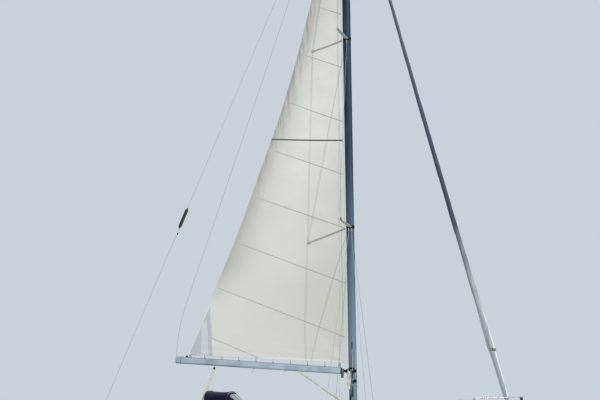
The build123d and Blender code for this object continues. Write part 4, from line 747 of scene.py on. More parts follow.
def tube_mesh(points, radius, sides=8, start=0):
    """Rings along a line with parallel frames. A line that ends where it starts becomes a closed hoop."""
    pts = [Vector(p) for p in points]
    hoop = (pts[0] - pts[-1]).length < 1e-6
    if hoop:
        pts.pop()
    count = len(pts)
    radii = radius if isinstance(radius, (list, tuple)) else [radius] * count
    verts, uvs = [], []
    side = None
    run = 0.0
    for i, p in enumerate(pts):
        after = (i + 1) % count if hoop else min(i + 1, count - 1)
        before = i - 1 if hoop else max(i - 1, 0)
        ahead = (pts[after] - pts[before]).normalized()
        if side is None:
            side = ahead.orthogonal().normalized()
        side = (side - ahead * side.dot(ahead)).normalized()
        up = ahead.cross(side)
        if i:
            run += (p - pts[i - 1]).length
        for j in range(sides):
            turn = 2 * math.pi * j / sides
            verts.append(p + (side * math.cos(turn) + up * math.sin(turn)) * radii[i])
            uvs.append((radii[i] * turn, run))
    if not hoop:
        return verts, capped_faces(count, sides, start), uvs
    faces = grid_faces(count, sides, start, closed=True)
    last = start + (count - 1) * sides
    shift = min(range(sides), key=lambda k: (verts[-sides] - verts[k]).length)
    for j in range(sides):
        k = (j + 1) % sides
        faces.append((last + j, last + k, start + (k + shift) % sides, start + (j + shift) % sides))
    return verts, faces, uvs


def tubes(name, lines, radius, material, body, sides=8):
    """One object of several tubes."""
    verts, faces, uvs = [], [], []
    for line in lines:
        v, f, u = tube_mesh(line, radius, sides, len(verts))
        verts += v
        faces += f
        uvs += u
    return mesh_piece(name, verts, faces, material, body, uvs=uvs)


def lathe(name, profile, sides, material, body=None, at=(0, 0, 0), axis=(0, 0, 1)):
    """Turned part from (radius, height) points along an axis."""
    turn = Vector((0, 0, 1)).rotation_difference(Vector(axis)).to_matrix()
    verts = []
    for radius, height in profile:
        for j in range(sides):
            angle = 2 * math.pi * j / sides
            point = Vector((radius * math.cos(angle), radius * math.sin(angle), height))
            verts.append(Vector(at) + turn @ point)
    return mesh_piece(name, verts, capped_faces(len(profile), sides), material, body)


def boxes(name, items, material, body, bevel=0.003):
    """One object of bevelled blocks. Items: centre, size and optionally a rotation matrix."""
    bm = bmesh.new()
    for centre, size, *turned in items:
        turn = turned[0].to_4x4() if turned else Matrix.Identity(4)
        made = bmesh.ops.create_cube(bm, size=1.0)["verts"]
        matrix = Matrix.Translation(centre) @ turn @ Matrix.Diagonal((*size, 1.0))
        bmesh.ops.transform(bm, matrix=matrix, verts=made)
    if bevel:
        bmesh.ops.bevel(bm, geom=bm.edges[:], offset=bevel, segments=2, affect="EDGES", profile=0.6)
    data = bpy.data.meshes.new(name)
    bm.to_mesh(data)
    bm.free()
    data.materials.append(MAT[material])
    return place(name, data, body)


def repeat_group():
    """Geometry Nodes: a small part on every point, turned by the point's own angles."""
    group = bpy.data.node_groups.new("repeat_part", "GeometryNodeTree")
    face = group.interface
    face.new_socket(name="Points", in_out="INPUT", socket_type="NodeSocketGeometry")
    face.new_socket(name="Part", in_out="INPUT", socket_type="NodeSocketObject")
    face.new_socket(name="Finish", in_out="INPUT", socket_type="NodeSocketMaterial")
    face.new_socket(name="Parts", in_out="OUTPUT", socket_type="NodeSocketGeometry")
    nodes = group.nodes
    start = nodes.new("NodeGroupInput")
    part = nodes.new("GeometryNodeObjectInfo")
    turn = nodes.new("GeometryNodeInputNamedAttribute")
    turn.data_type = "FLOAT_VECTOR"
    turn.inputs["Name"].default_value = "turn"
    copies = nodes.new("GeometryNodeInstanceOnPoints")
    solid = nodes.new("GeometryNodeRealizeInstances")
    finish = nodes.new("GeometryNodeSetMaterial")
    end = nodes.new("NodeGroupOutput")
    join = group.links.new
    join(start.outputs["Points"], copies.inputs["Points"])
    join(start.outputs["Part"], part.inputs["Object"])
    join(part.outputs["Geometry"], copies.inputs["Instance"])
    join(turn.outputs["Attribute"], copies.inputs["Rotation"])
    join(copies.outputs["Instances"], solid.inputs["Geometry"])
    join(solid.outputs["Geometry"], finish.inputs["Geometry"])
    join(start.outputs["Finish"], finish.inputs["Material"])
    join(finish.outputs["Geometry"], end.inputs["Parts"])
    return group


REPEAT = repeat_group()


def repeated(name, part, places, material, body):
    """The part's mesh at each place (point, rotation matrix), made real as one object; the part goes."""
    obj = mesh_piece(name, [p for p, turn in places], [], [], None)
    angles = obj.data.attributes.new("turn", "FLOAT_VECTOR", "POINT")
    angles.data.foreach_set("vector", [c for p, turn in places for c in turn.to_euler()])
    mod = obj.modifiers.new("repeat", "NODES")
    mod.node_group = REPEAT
    for item in REPEAT.interface.items_tree:
        if item.name == "Part":
            mod[item.identifier] = part
        if item.name == "Finish":
            mod[item.identifier] = MAT[material]
    bpy.context.view_layer.update()
    made = bpy.data.meshes.new_from_object(obj.evaluated_get(bpy.context.evaluated_depsgraph_get()))
    obj.modifiers.remove(mod)
    obj.data = made
    bpy.data.objects.remove(part)
    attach(obj, body)


# Places on the spars, from the CAD's own sizes

MAST_RAKE = math.radians(0.95)
MAST_HEEL_Z = 1.625
MAST_DEPTH = 0.185
MAST_BREADTH = 0.122
LUFF_GAP = 0.018
BOOM_PIN = Vector((-0.15005, 0.0, 2.563))
BOOM_RISE = math.radians(3.8)
BOOM_HEIGHT = 0.155
BOOM_WIDTH = 0.096
MAST_TURN = Matrix.Rotation(-MAST_RAKE, 3, "Y")
BOOM_TURN = Matrix.Rotation(BOOM_RISE, 3, "Y")


def mast_at(z, forward=0.0, side=0.0):
    """Point at a height beside the mast's centre line."""
    return Vector((-(z - MAST_HEEL_Z) * math.tan(MAST_RAKE) + forward, side, z))


def boom_at(run, side=0.0, up=0.0):
    """Point beside the boom's centre line, a distance aft of its pin."""
    aft = Vector((-math.cos(BOOM_RISE), 0, math.sin(BOOM_RISE)))
    top = Vector((math.sin(BOOM_RISE), 0, math.cos(BOOM_RISE)))
    return BOOM_PIN + aft * run + top * up + Vector((0, side, 0))


# Mainsail. Columns: height at the luff, height at the leech, leech x, belly as a share of the chord
SAIL_LEVELS = (
    (2.745, 2.935, -3.823, 0.020),
    (3.500, 3.634, -3.542, 0.045),
    (4.400, 4.491, -3.207, 0.055),
    (5.690, 5.742, -2.695, 0.060),
    (7.020, 7.043, -2.225, 0.060),
    (8.900, 8.904, -1.578, 0.060),
    (11.190, 11.193, -0.968, 0.050),
    (12.520, 12.520, -0.690, 0.036),
    (13.850, 13.850, -0.440, 0.020),
)


def faired(table, column, at):
    """Value of a column at a height in the first column, on a fair curve through its rows."""
    knots = [row[0] for row in table]
    values = [row[column] for row in table]
    at = min(max(at, knots[0]), knots[-1])
    i = max(k for k in range(len(knots) - 1) if knots[k] <= at)

    def slope(k):
        """Slope of the column at one of its rows."""
        low, high = max(k - 1, 0), min(k + 1, len(knots) - 1)
        return (values[high] - values[low]) / (knots[high] - knots[low])

    span = knots[i + 1] - knots[i]
    t = (at - knots[i]) / span
    return (
        values[i] * (2 * t**3 - 3 * t**2 + 1)
        + values[i + 1] * (3 * t**2 - 2 * t**3)
        + slope(i) * span * (t**3 - 2 * t**2 + t)
        + slope(i + 1) * span * (t**3 - t**2)
    )


def luff_at(z):
    """Where the luff lies at a height, a little aft of the mast."""
    return mast_at(z).x - MAST_DEPTH / 2 - LUFF_GAP


# Corners of the sail in its side view, as (x, z), and the distance between its luff slides
CLEW = (-3.823, 2.935)
TACK = (-0.129, 2.745)
SLIDE_PITCH = 0.64

# Creases that fan out from a corner. Columns: corner, number, reach, height
CORNER_CREASES = ((CLEW, 11.0, 0.9, 0.010), (TACK, 9.0, 0.7, 0.008))


def sail_wrinkle(x, z, share):
    """Small unevenness of the cloth: creases from the clew and tack, along the foot and the luff."""
    uneven, foot_crease, luff_scallop = 0.010, 0.009, 0.004
    total = uneven * noise.noise(Vector((x * 0.9, 3.0, z * 0.6)))
    for corner, count, reach, size in CORNER_CREASES:
        dx, dz = x - corner[0], z - corner[1]
        far = math.hypot(dx, dz)
        fan = math.sin(count * math.atan2(dz, abs(dx) + 0.02))
        total += size * math.exp(-far / reach) * min(far / 0.25, 1.0) * fan
    foot = TACK[1] + (x - TACK[0]) * (CLEW[1] - TACK[1]) / (CLEW[0] - TACK[0])
    above = z - foot
    total += foot_crease * math.exp(-above / 0.22) * math.sin(above * 38.0 + x * 1.3)
    total += luff_scallop * math.exp(-share * 14.0) * math.sin(2 * math.pi * z / SLIDE_PITCH)
    edge = min(share, 1 - share) * 8.0
    return total * min(edge, 1.0)


def sail_point(share, luff_z):
    """Point of the sail's middle surface at a share of the chord from the luff, on one level."""
    leech_z = faired(SAIL_LEVELS, 1, luff_z)
    leech_x = faired(SAIL_LEVELS, 2, luff_z)
    belly = faired(SAIL_LEVELS, 3, luff_z)
    luff = luff_at(luff_z)
    chord = luff - leech_x
    x = luff - chord * share
    z = luff_z + (leech_z - luff_z) * share
    y = 4 * belly * chord * share * (1 - share) + sail_wrinkle(x, z, share)
    return Vector((x, y, z))


SAIL_ROWS = 240
SAIL_COLUMNS = 72
SAIL_THICKNESS = 0.002
LEVEL_PASSES = 4


def on_sail(x, z, lift):
    """Point on one face of the sail at a place of its side view; lift is signed along y. The level
    leans from luff to leech, so it is found in a few passes."""
    luff_z = z
    for _ in range(LEVEL_PASSES):
        leech_x = faired(SAIL_LEVELS, 2, luff_z)
        luff = luff_at(luff_z)
        share = min(max((luff - x) / (luff - leech_x), 0.0), 1.0)
        luff_z = z - (faired(SAIL_LEVELS, 1, luff_z) - luff_z) * share
    return sail_point(share, luff_z) + Vector((0, lift, 0))


def make_sail():
    """Set mainsail as one sheet. Each point keeps its distance from the leech, for the grey and the streaks
    there.
    """
    verts, leech = [], []
    for z in spread(SAIL_LEVELS[0][0], SAIL_LEVELS[-1][0], SAIL_ROWS):
        edge = faired(SAIL_LEVELS, 2, z)
        for share in spread(0, 1, SAIL_COLUMNS):
            p = sail_point(share, z)
            verts.append(p)
            leech.append(p.x - edge)
    sail = mesh_piece("sail_cloth", verts, grid_faces(SAIL_ROWS, SAIL_COLUMNS), "sailcloth", None)
    point_values(sail, "leech_distance", leech)
    thick = sail.modifiers.new("thickness", "SOLIDIFY")
    thick.thickness = SAIL_THICKNESS
    thick.offset = 0.0
    area = sum(face.area for face in sail.data.polygons)
    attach(sail, "boom")
    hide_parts("mainsail")
    return sail, area


def sail_strip(path, width, lift):
    """Tape on both faces of the sail along a line of its side view, as verts and faces."""
    verts, faces = [], []
    for hand in (-1, 1):
        start = len(verts)
        for i, (x, z) in enumerate(path):
            before, after = path[max(i - 1, 0)], path[min(i + 1, len(path) - 1)]
            dx, dz = after[0] - before[0], after[1] - before[1]
            length = math.hypot(dx, dz)
            for k in (-0.5, 0.5):
                verts.append(on_sail(x - dz / length * width * k, z + dx / length * width * k, hand * lift))
        strip = grid_faces(len(path), 2, start)
        faces += strip if hand > 0 else [tuple(reversed(f)) for f in strip]
    return verts, faces


def sail_tapes(name, paths, width, lift, material):
    """One piece of several tapes, sewn on both faces of the sail."""
    verts, faces = [], []
    for path in paths:
        v, f = sail_strip(path, width, lift)
        faces += [tuple(k + len(verts) for k in face) for face in f]
        verts += v
    return mesh_piece(name, verts, faces, material, "boom")


def straight(first, last, count=48):
    """Even points of a straight line in the sail's side view."""
    return list(zip(spread(first[0], last[0], count + 1), spread(first[1], last[1], count + 1)))


# Panel seams. Columns: leech x, leech z, luff x, luff z
SEAMS = (
    (-0.500, 13.120, -0.316, 13.040),
    (-0.660, 12.120, -0.297, 11.970),
    (-0.828, 11.038, -0.279, 10.850),
    (-1.183, 9.929, -0.262, 9.608),
    (-1.588, 8.834, -0.243, 8.340),
    (-1.947, 7.717, -0.224, 7.111),
    (-2.334, 6.624, -0.204, 5.870),
    (-2.714, 5.545, -0.186, 4.594),
    (-3.139, 4.490, -0.168, 3.336),
    (-3.500, 3.415, -2.213, 2.872),
)
BATTEN_LINE = ((-1.905, 7.943), (-0.215, 7.903))
FOOT_LINE = ((-0.150, 2.775), (-3.800, 2.963))

# Doubled cloth at the corners of the sail. Four corners each, in the side view
CLEW_PATCH = ((-3.812, 2.938), (-3.345, 4.040), (-3.335, 4.040), (-3.278, 2.918))
CLEW_STRIPE = ((-3.554, 2.930), (-3.535, 3.620), (-3.412, 3.780), (-3.370, 2.922))
TACK_PATCH = ((-0.135, 2.752), (-0.150, 3.373), (-0.165, 3.373), (-0.565, 2.775))
HEAD_PATCH = ((-0.330, 13.820), (-0.430, 13.820), (-0.500, 13.300), (-0.330, 13.100))
PATCH_STEPS = 30


def sail_patch(name, corners, lift, material):
    """Doubled cloth laid on both faces of the sail between four corners of its side view."""
    a, b, c, d = [Vector(corner) for corner in corners]
    verts, faces = [], []
    for hand in (-1, 1):
        start = len(verts)
        for i in range(PATCH_STEPS + 1):
            t = i / PATCH_STEPS
            for j in range(PATCH_STEPS + 1):
                p = a.lerp(b, t).lerp(d.lerp(c, t), j / PATCH_STEPS)
                verts.append(on_sail(p.x, p.y, hand * lift))
        part = grid_faces(PATCH_STEPS + 1, PATCH_STEPS + 1, start)
        faces += part if hand < 0 else [tuple(reversed(f)) for f in part]
    return mesh_piece(name, verts, faces, material, "boom")


def edge_path(edge, inset, count=160):
    """Line up the leech or the luff of the sail, a little inside it."""
    path = []
    for z in spread(SAIL_LEVELS[0][0], SAIL_LEVELS[-1][0], count + 1):
        if edge == "leech":
            path.append((faired(SAIL_LEVELS, 2, z) + inset, faired(SAIL_LEVELS, 1, z)))
        else:
            path.append((luff_at(z) - inset, z))
    return path


SEAM_WIDTH = 0.022
TABLING = 0.055
BATTEN_WIDTH = 0.030
LUFF_TAPE = 0.020
LUFF_SEAM_INSET = 0.098
FOOT_TAPE = 0.050

# The last number of each piece is how far it lies off the sail's middle surface
sail, sail_area = make_sail()
pieces = [
    sail_tapes("sail_seams", [straight(s[:2], s[2:]) for s in SEAMS], SEAM_WIDTH, 0.0022, "seam_tape"),
    sail_tapes("sail_batten", [straight(*BATTEN_LINE)], BATTEN_WIDTH, 0.0045, "batten_tape"),
    sail_tapes("sail_leech_tabling", [edge_path("leech", TABLING / 2)], TABLING, 0.0018, "sailcloth"),
    sail_tapes("sail_luff_tabling", [edge_path("luff", LUFF_TAPE / 2)], LUFF_TAPE, 0.0050, "pale_cloth"),
    sail_tapes("sail_luff_seam", [edge_path("luff", LUFF_SEAM_INSET)], 0.010, 0.0020, "seam_tape"),
    sail_tapes("sail_foot_tabling", [straight(*FOOT_LINE)], FOOT_TAPE, 0.0022, "pale_cloth"),
    sail_patch("sail_clew_patch", CLEW_PATCH, 0.0034, "patch_cloth"),
    sail_patch("sail_clew_stripe", CLEW_STRIPE, 0.0046, "stripe_cloth"),
    sail_patch("sail_tack_patch", TACK_PATCH, 0.0030, "tack_cloth"),
    sail_patch("sail_head_patch", HEAD_PATCH, 0.0030, "tack_cloth"),
]

# The leech's own tape is as grey and streaked as the cloth under it
tabling = pieces[2]
point_values(tabling, "leech_distance", [TABLING / 2] * len(tabling.data.vertices))

# Headsail rolled on the forestay. Columns: height, radius of the roll
ROLL = (
    (1.900, 0.042),
    (1.960, 0.054),
    (2.600, 0.066),
    (2.950, 0.074),
    (3.170, 0.086),
    (3.420, 0.080),
    (4.210, 0.064),
    (5.360, 0.056),
    (6.520, 0.054),
    (8.820, 0.045),
    (10.670, 0.036),
    (13.520, 0.022),
    (13.590, 0.014),
)
STAY_FOOT = Vector((3.690, 0.0, 1.400))
STAY_AXIS = Vector((-0.2758883, 0.0, 0.9611897))
ROLL_SAG = 0.036
ROLL_BACK = 0.024
ROLL_PITCH = 1.35
ROLL_STEP = 0.10
ROLL_LUMPS = 0.05
ROLL_OVAL = 0.03
ROLL_EDGE_SHARPNESS = 14.0
ROLL_ROWS = 420
ROLL_SIDES = 40

# Ring in the headsail's clew, and the wraps of its lashing
CLEW_RING_Z = 3.06
CLEW_RING_HALF = (0.026, 0.030)
LASHING_WRAPS = 4
LASHING_PITCH = 0.016


def stay_at(z):
    """Point of the forestay at a height."""
    return STAY_FOOT + STAY_AXIS * ((z - STAY_FOOT.z) / STAY_AXIS.z)


def make_roll():
    """Rolled cloth whose free edge climbs round it in a long spiral. Each point keeps its nearness
    to that edge and to the sides of the roll, where the material paints shade and highlights."""
    across = Vector((0, 1, 0))
    back = STAY_AXIS.cross(across)
    verts, edges, sides = [], [], []
    for row in range(ROLL_ROWS):
        share = row / (ROLL_ROWS - 1)
        z = ROLL[0][0] + (ROLL[-1][0] - ROLL[0][0]) * row / (ROLL_ROWS - 1)
        aft = ROLL_SAG * math.sin(math.pi * share) + ROLL_BACK * (1 - share)
        centre = stay_at(z) - Vector((aft, 0, 0))
        base = faired(ROLL, 1, z)
        for j in range(ROLL_SIDES):
            angle = 2 * math.pi * j / ROLL_SIDES
            turn = (j / ROLL_SIDES - z / ROLL_PITCH) % 1.0
            step = 1.0 + ROLL_STEP * (turn - 0.5)
            lump = 1.0 + ROLL_LUMPS * noise.noise(Vector((math.cos(angle), math.sin(angle), z * 2.3)))
            lump += ROLL_OVAL * math.sin(angle * 2 + z * 5.0)
            radius = base * step * lump
            verts.append(centre + (across * math.cos(angle) + back * math.sin(angle)) * radius)
            edges.append(max(0.0, 1.0 - min(turn, 1.0 - turn) * ROLL_EDGE_SHARPNESS))
            sides.append(abs(math.sin(angle)))
    faces = capped_faces(ROLL_ROWS, ROLL_SIDES)
    roll = mesh_piece("rolled_headsail", verts, faces, "furled_cloth", None)
    point_values(roll, "roll_edge", edges)
    point_values(roll, "roll_side", sides)
    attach(roll, "furler")
    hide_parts("furled_genoa")


def clew_ring():
    """Steel ring pressed into the headsail's clew, lying on the roll with its lashing."""
    beside = Vector((-0.020, -faired(ROLL, 1, CLEW_RING_Z) - 0.004, 0))
    half_x, half_z = CLEW_RING_HALF
    ring = loop_round(stay_at(CLEW_RING_Z) + beside, Vector((half_x, 0, 0)), Vector((0, 0, half_z)), 25)
    wraps = []
    for k in range(LASHING_WRAPS):
        z = CLEW_RING_Z - 0.030 + LASHING_PITCH * k
        centre = stay_at(z) - Vector((ROLL_BACK, 0, 0))
        reach = faired(ROLL, 1, z) + 0.003
        wraps.append(loop_round(centre, Vector((reach, 0, 0)), Vector((0, reach, 0)), 33))
    tubes("clew_ring", [ring], 0.006, "polished_steel", "furler", 10)
    tubes("clew_lashing", wraps, 0.005, "black_rope", "furler", 8)


make_roll()
clew_ring()

# Spray hood over two hoops. Columns: x, half width, foot height, top height
HOOD = (
    (-2.420, 0.940, 1.420, 1.760),
    (-2.820, 0.990, 1.400, 2.095),
    (-3.330, 1.040, 1.341, 2.110),
)
HOOD_GIRTH = 48
HOOD_LENGTH = 30
HOOD_SAG = 0.016
HOOD_INSIDE = 0.004
CANVAS_THICKNESS = 0.0015
HOOP_R = 0.0125
BINDING_R = 0.006

# Clear panes of the front slope, as first and last columns of the girth, and the rows of cloth
# left above and below them
PANES = ((11, 18), (20, 28), (30, 37))
PANE_MARGIN = 2


def hood_section(half, foot, top):
    """Half of a hoop's line, from the foot to the crown, as (y, z)."""
    shoulder = top - (top - foot) * 0.32
    return [
        (half, foot),
        (half, foot + (shoulder - foot) * 0.6),
        (half * 0.985, shoulder),
        (half * 0.88, top - 0.42 * (top - shoulder)),
        (half * 0.66, top - 0.12 * (top - shoulder)),
        (half * 0.35, top - 0.004),
        (0.0, top),
    ]


def hood_row(half, foot, top):
    """Even points over the whole hoop, port to starboard."""
    right = hood_section(half, foot, top)
    line = smooth_line([(0, y, z) for y, z in right] + [(0, -y, z) for y, z in reversed(right[:-1])], 8)
    lengths = [0.0]
    for a, b in zip(line, line[1:]):
        lengths.append(lengths[-1] + (b - a).length)
    points = []
    for k in range(HOOD_GIRTH + 1):
        at = lengths[-1] * k / HOOD_GIRTH
        i = max(n for n in range(len(lengths) - 1) if lengths[n] <= at + 1e-9)
        t = (at - lengths[i]) / (lengths[i + 1] - lengths[i])
        points.append(line[i].lerp(line[i + 1], min(t, 1.0)))
    return points


def make_hood():
    """Canvas shell with clear panels in its front slope, sagging a little between the hoops."""
    verts = []
    for i in range(HOOD_LENGTH + 1):
        t = i / HOOD_LENGTH * (len(HOOD) - 1)
        k = min(int(t), len(HOOD) - 2)
        f = t - k
        x, half, foot, top = [a + (b - a) * f for a, b in zip(HOOD[k], HOOD[k + 1])]
        sag = HOOD_SAG * math.sin(math.pi * f)
        for j, p in enumerate(hood_row(half - HOOD_INSIDE, foot, top - HOOD_INSIDE)):
            over = math.sin(math.pi * j / HOOD_GIRTH)
            dip = sag * over + 0.003 * noise.noise(Vector((x * 9, p.y * 5, 1.0)))
            verts.append(Vector((x, p.y * (1 - 0.35 * sag), p.z - dip)))
    slots = []
    for i in range(HOOD_LENGTH):
        front = PANE_MARGIN <= i < HOOD_LENGTH // 2 - PANE_MARGIN
        for j in range(HOOD_GIRTH):
            slots.append(int(front and any(first <= j < last for first, last in PANES)))
    faces = grid_faces(HOOD_LENGTH + 1, HOOD_GIRTH + 1)
    hood = mesh_piece("spray_hood_canvas", verts, faces, ["navy_canvas", "clear_vinyl"], None, slots)
    thick = hood.modifiers.new("thickness", "SOLIDIFY")
    thick.thickness = CANVAS_THICKNESS
    thick.offset = 0.0
    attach(hood, "hull")
    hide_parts("spray_hood")
    return hood, sum(face.area for face in hood.data.polygons)


def hoop_line(row, inset):
    """Line over one row of the hood, a little inside its cloth."""
    x, half, foot, top = row
    return [Vector((x, p.y, p.z)) for p in hood_row(half - inset, foot, top - inset)]


hood, hood_area = make_hood()
hood_pieces = [
    tubes("hood_hoops", [hoop_line(row, 0.017) for row in HOOD[1:]], HOOP_R, "polished_steel", "hull", 10),
    tubes("hood_bindings", [hoop_line(row, -0.001) for row in HOOD], BINDING_R, "navy_binding", "hull", 8),
]

# Guard wires. Stanchions: x, half width; the sheer line gives their height
STANCHIONS = ((2.450, 0.800), (0.900, 1.330), (-1.100, 1.560), (-2.900, 1.560), (-4.400, 1.380))
DECK_EDGE_Z = 1.210
STANCHION_FOOT = 0.030
GUARD_HEIGHTS = (0.585, 0.300)
PULPIT_END = (2.745, 0.560)
PUSHPIT_END = (-5.225, 1.190)


def deck_edge(x):
    """Height of the deck's edge along the boat."""
    return DECK_EDGE_Z + SHEER_SLOPE * x


def guard_wires():
    """Two wires a side, from the pulpit through the stanchions to the pushpit."""
    posts = (PULPIT_END,) + STANCHIONS + (PUSHPIT_END,)
    lines = []
    for hand in (-1, 1):
        for height in GUARD_HEIGHTS:
            lift = STANCHION_FOOT + height
            lines.append([Vector((x, hand * y, deck_edge(x) + lift)) for x, y in posts])
    tubes("guard_wires", lines, 0.0028, "stranded_steel", "hull", 6)


guard_wires()

# Surfaces to stand fittings on


def surface(*names):
    """Search tree over the faces of several CAD nodes."""
    verts, faces = [], []
    for name in names:
        data = NODES[name].data
        start = len(verts)
        verts += [v.co.copy() for v in data.vertices]
        faces += [tuple(k + start for k in f.vertices) for f in data.polygons]
    return BVHTree.FromPolygons(verts, faces)


TOPSIDE = surface("deck", "coachroof", "cockpit", "coamings", "hatch_garage")
SIDE = surface("hull", "deck")

# Where a search starts: over the roof, out to one side, and behind the transom
OVERHEAD = 2.4
OUTSIDE = 3.0
ASTERN = -8.0
# Fittings stand this far off the surface, so that the two don't flicker
SEAT_GAP = 0.0005


def drop(x, y, above=0.0):
    """Point on the deck, roof or cockpit below a place, lifted a little."""
    hit = TOPSIDE.ray_cast(Vector((x, y, OVERHEAD)), Vector((0, 0, -1)))[0]
    return hit + Vector((0, 0, above))


def hull_side(x, z, hand, out=0.0):
    """Point on the outside of the hull at one side."""
    hit = SIDE.ray_cast(Vector((x, hand * OUTSIDE, z)), Vector((0, -hand, 0)))[0]
    return hit + Vector((0, hand * out, 0))


def sweep(name, lines, profile, material, body):
    """Bars of one profile along lines; profile points are (sideways, up)."""
    verts, faces = [], []
    for line in lines:
        start = len(verts)
        for i, p in enumerate(line):
            ahead = line[min(i + 1, len(line) - 1)] - line[max(i - 1, 0)]
            side = Vector((0, 0, 1)).cross(ahead).normalized()
            up = ahead.cross(side).normalized()
            verts += [p + side * a + up * b for a, b in profile]
        faces += capped_faces(len(line), len(profile), start)
    return mesh_piece(name, verts, faces, material, body, smooth=False)


def bar(width, height, base=0.0):
    """Flat bar's profile."""
    return ((width / 2, base), (width / 2, base + height), (-width / 2, base + height), (-width / 2, base))


def resample(line, pitch):
    """Points every pitch along a line, with the direction there."""
    places = []
    left = pitch / 2
    for a, b in zip(line, line[1:]):
        step = (b - a).length
        while left <= step:
            places.append((a.lerp(b, left / step), (b - a).normalized()))
            left += pitch
        left -= step
    return places


def along(direction):
    """Rotation that turns +X to a direction, keeping +Z up."""
    side = Vector((0, 0, 1)).cross(direction).normalized()
    up = direction.cross(side).normalized()
    return Matrix((direction, side, up)).transposed()


# Toe rail a little inside the deck's edge. Its foot and cap are width, height and height of the
# base, its posts length, width and height. A rubbing strake runs under it
TOE_X = (3.62, -6.05)
TOE_INSET = 0.022
TOE_FOOT = (0.030, 0.004)
TOE_CAP = (0.010, 0.008, 0.026)
TOE_POST = (0.030, 0.007, 0.026)
TOE_POST_MIDDLE = 0.016
TOE_POST_PITCH = 0.085
STRAKE_DROP = 0.055
STRAKE_OUT = 0.012
STRAKE_HALF = 0.020


def make_toe_rails():
    """Slotted alloy rail on each deck edge, and a rubbing strake under it."""
    rails, strakes, posts = [], [], []
    for hand in (-1, 1):
        rail, strake = [], []
        for x in spread(*TOE_X, 84):
            edge = hull_side(x, deck_edge(x) - 0.02, hand)
            rail.append(drop(x, edge.y - hand * TOE_INSET, SEAT_GAP))
            strake.append(hull_side(x, deck_edge(x) - STRAKE_DROP, hand, 0.002))
        rails.append(rail)
        strakes.append(strake)
        for p, d in resample(rail, TOE_POST_PITCH):
            posts.append((p + Vector((0, 0, TOE_POST_MIDDLE)), along(d)))
    sweep("toe_rail_foot", rails, bar(*TOE_FOOT), "boom_anodised", "hull")
    sweep("toe_rail_cap", rails, bar(*TOE_CAP), "boom_anodised", "hull")
    post = boxes("toe_rail_post", [((0, 0, 0), TOE_POST)], "boom_anodised", None, 0)
    repeated("toe_rail_posts", post, posts, "boom_anodised", "hull")
    half_round = [(STRAKE_OUT * math.sin(a), STRAKE_HALF * math.cos(a)) for a in spread(0, math.pi, 7)]
    for hand, side, line in zip((-1, 1), ("stbd", "port"), strakes):
        profile = [(-hand * a, b) for a, b in half_round][::-hand]
        sweep("strake_" + side, [line], profile, "navy_stripe", "hull")


make_toe_rails()

# Hand rails on the coachroof; they close in a little towards the bow
GRAB_X = (-1.70, 0.55)
GRAB_Y = 0.60
GRAB_TAPER = 0.05
GRAB_HEIGHT = 0.042
GRAB_FOOT = (0.070, 0.022, 0.046)
GRAB_PITCH = 0.45


def make_grab_rails():
    """Teak hand rails along the coachroof, on feet."""
    lines, feet = [], []
    for hand in (-1, 1):
        line = []
        for x in spread(*GRAB_X, 24):
            share = (x - GRAB_X[0]) / (GRAB_X[1] - GRAB_X[0])
            line.append(drop(x, hand * (GRAB_Y - GRAB_TAPER * share), GRAB_HEIGHT))
        lines.append(line)
        for p, d in resample(line, GRAB_PITCH):
            feet.append((p - Vector((0, 0, 0.022)), along(d)))
    sweep("grab_rails", lines, bar(0.022, 0.018), "varnished_teak", "hull")
    foot = boxes("grab_foot", [((0, 0, 0), GRAB_FOOT)], "varnished_teak", None, 0.006)
    repeated("grab_feet", foot, feet, "varnished_teak", "hull")


make_grab_rails()


def make_block(name, centre, body, radius, width=0.022, material="black_fitting"):
    """Round block with a grooved rim and cheeks, its pin across the boat."""
    half = width / 2
    cheek = ((0.004, half * 1.3), (radius * 0.5, half * 1.3), (radius * 0.92, half), (radius, half * 0.5))
    profile = [(r, -h) for r, h in cheek] + [(radius * 0.82, 0.0)] + list(cheek[::-1])
    lathe(name, profile, 24, material, body, centre, (0, 1, 0))


# Jib sheet tracks on the side decks, each with bolts and a car. TRACK_TEE is one half of their
# profile
TRACK_X = (-2.60, -0.95)
TRACK_Y = 1.28
TRACK_TEE = ((0.010, 0), (0.010, 0.005), (0.016, 0.006), (0.016, 0.012))
BOLT_PITCH = 0.10
BOLT_HEAD = ((0.0045, 0), (0.0045, 0.001), (0.003, 0.0016))
CAR_X = -1.62
CAR_SIZE = (0.110, 0.050, 0.020)


def make_tracks():
    """Tee tracks with bolt heads, and on each a car that carries a block."""
    lines, bolts = [], []
    for hand in (-1, 1):
        line = [drop(x, hand * TRACK_Y, SEAT_GAP) for x in spread(*TRACK_X, 20)]
        lines.append(line)
        bolts += [(p + Vector((0, 0, 0.0125)), along(d)) for p, d in resample(line, BOLT_PITCH)]
        car = drop(CAR_X, hand * TRACK_Y)
        mark = str(hand + 1)
        plate = (car + Vector((0, 0, 0.022)), CAR_SIZE)
        boxes("track_car_" + mark, [plate], "black_fitting", "hull", 0.005)
        make_block("track_block_" + mark, car + Vector((0, 0, 0.062)), "hull", 0.032, 0.024)
    tee = TRACK_TEE + tuple((-side, up) for side, up in TRACK_TEE[::-1])
    sweep("sheet_tracks", lines, tee, "mast_anodised", "hull")
    head = lathe("track_bolt", BOLT_HEAD, 10, "polished_steel")
    repeated("track_bolts", head, bolts, "polished_steel", "hull")


make_tracks()

# Window openings. Columns: aft x, forward x, lower z, upper z
WINDOWS = (
    (-2.500, -1.650, 1.345, 1.480),
    (-1.500, -0.650, 1.340, 1.475),
    (-0.450, 0.250, 1.335, 1.455),
)
FRAME_LAP = 0.010
FRAME_CORNER = 0.045
FRAME_R = 0.0075


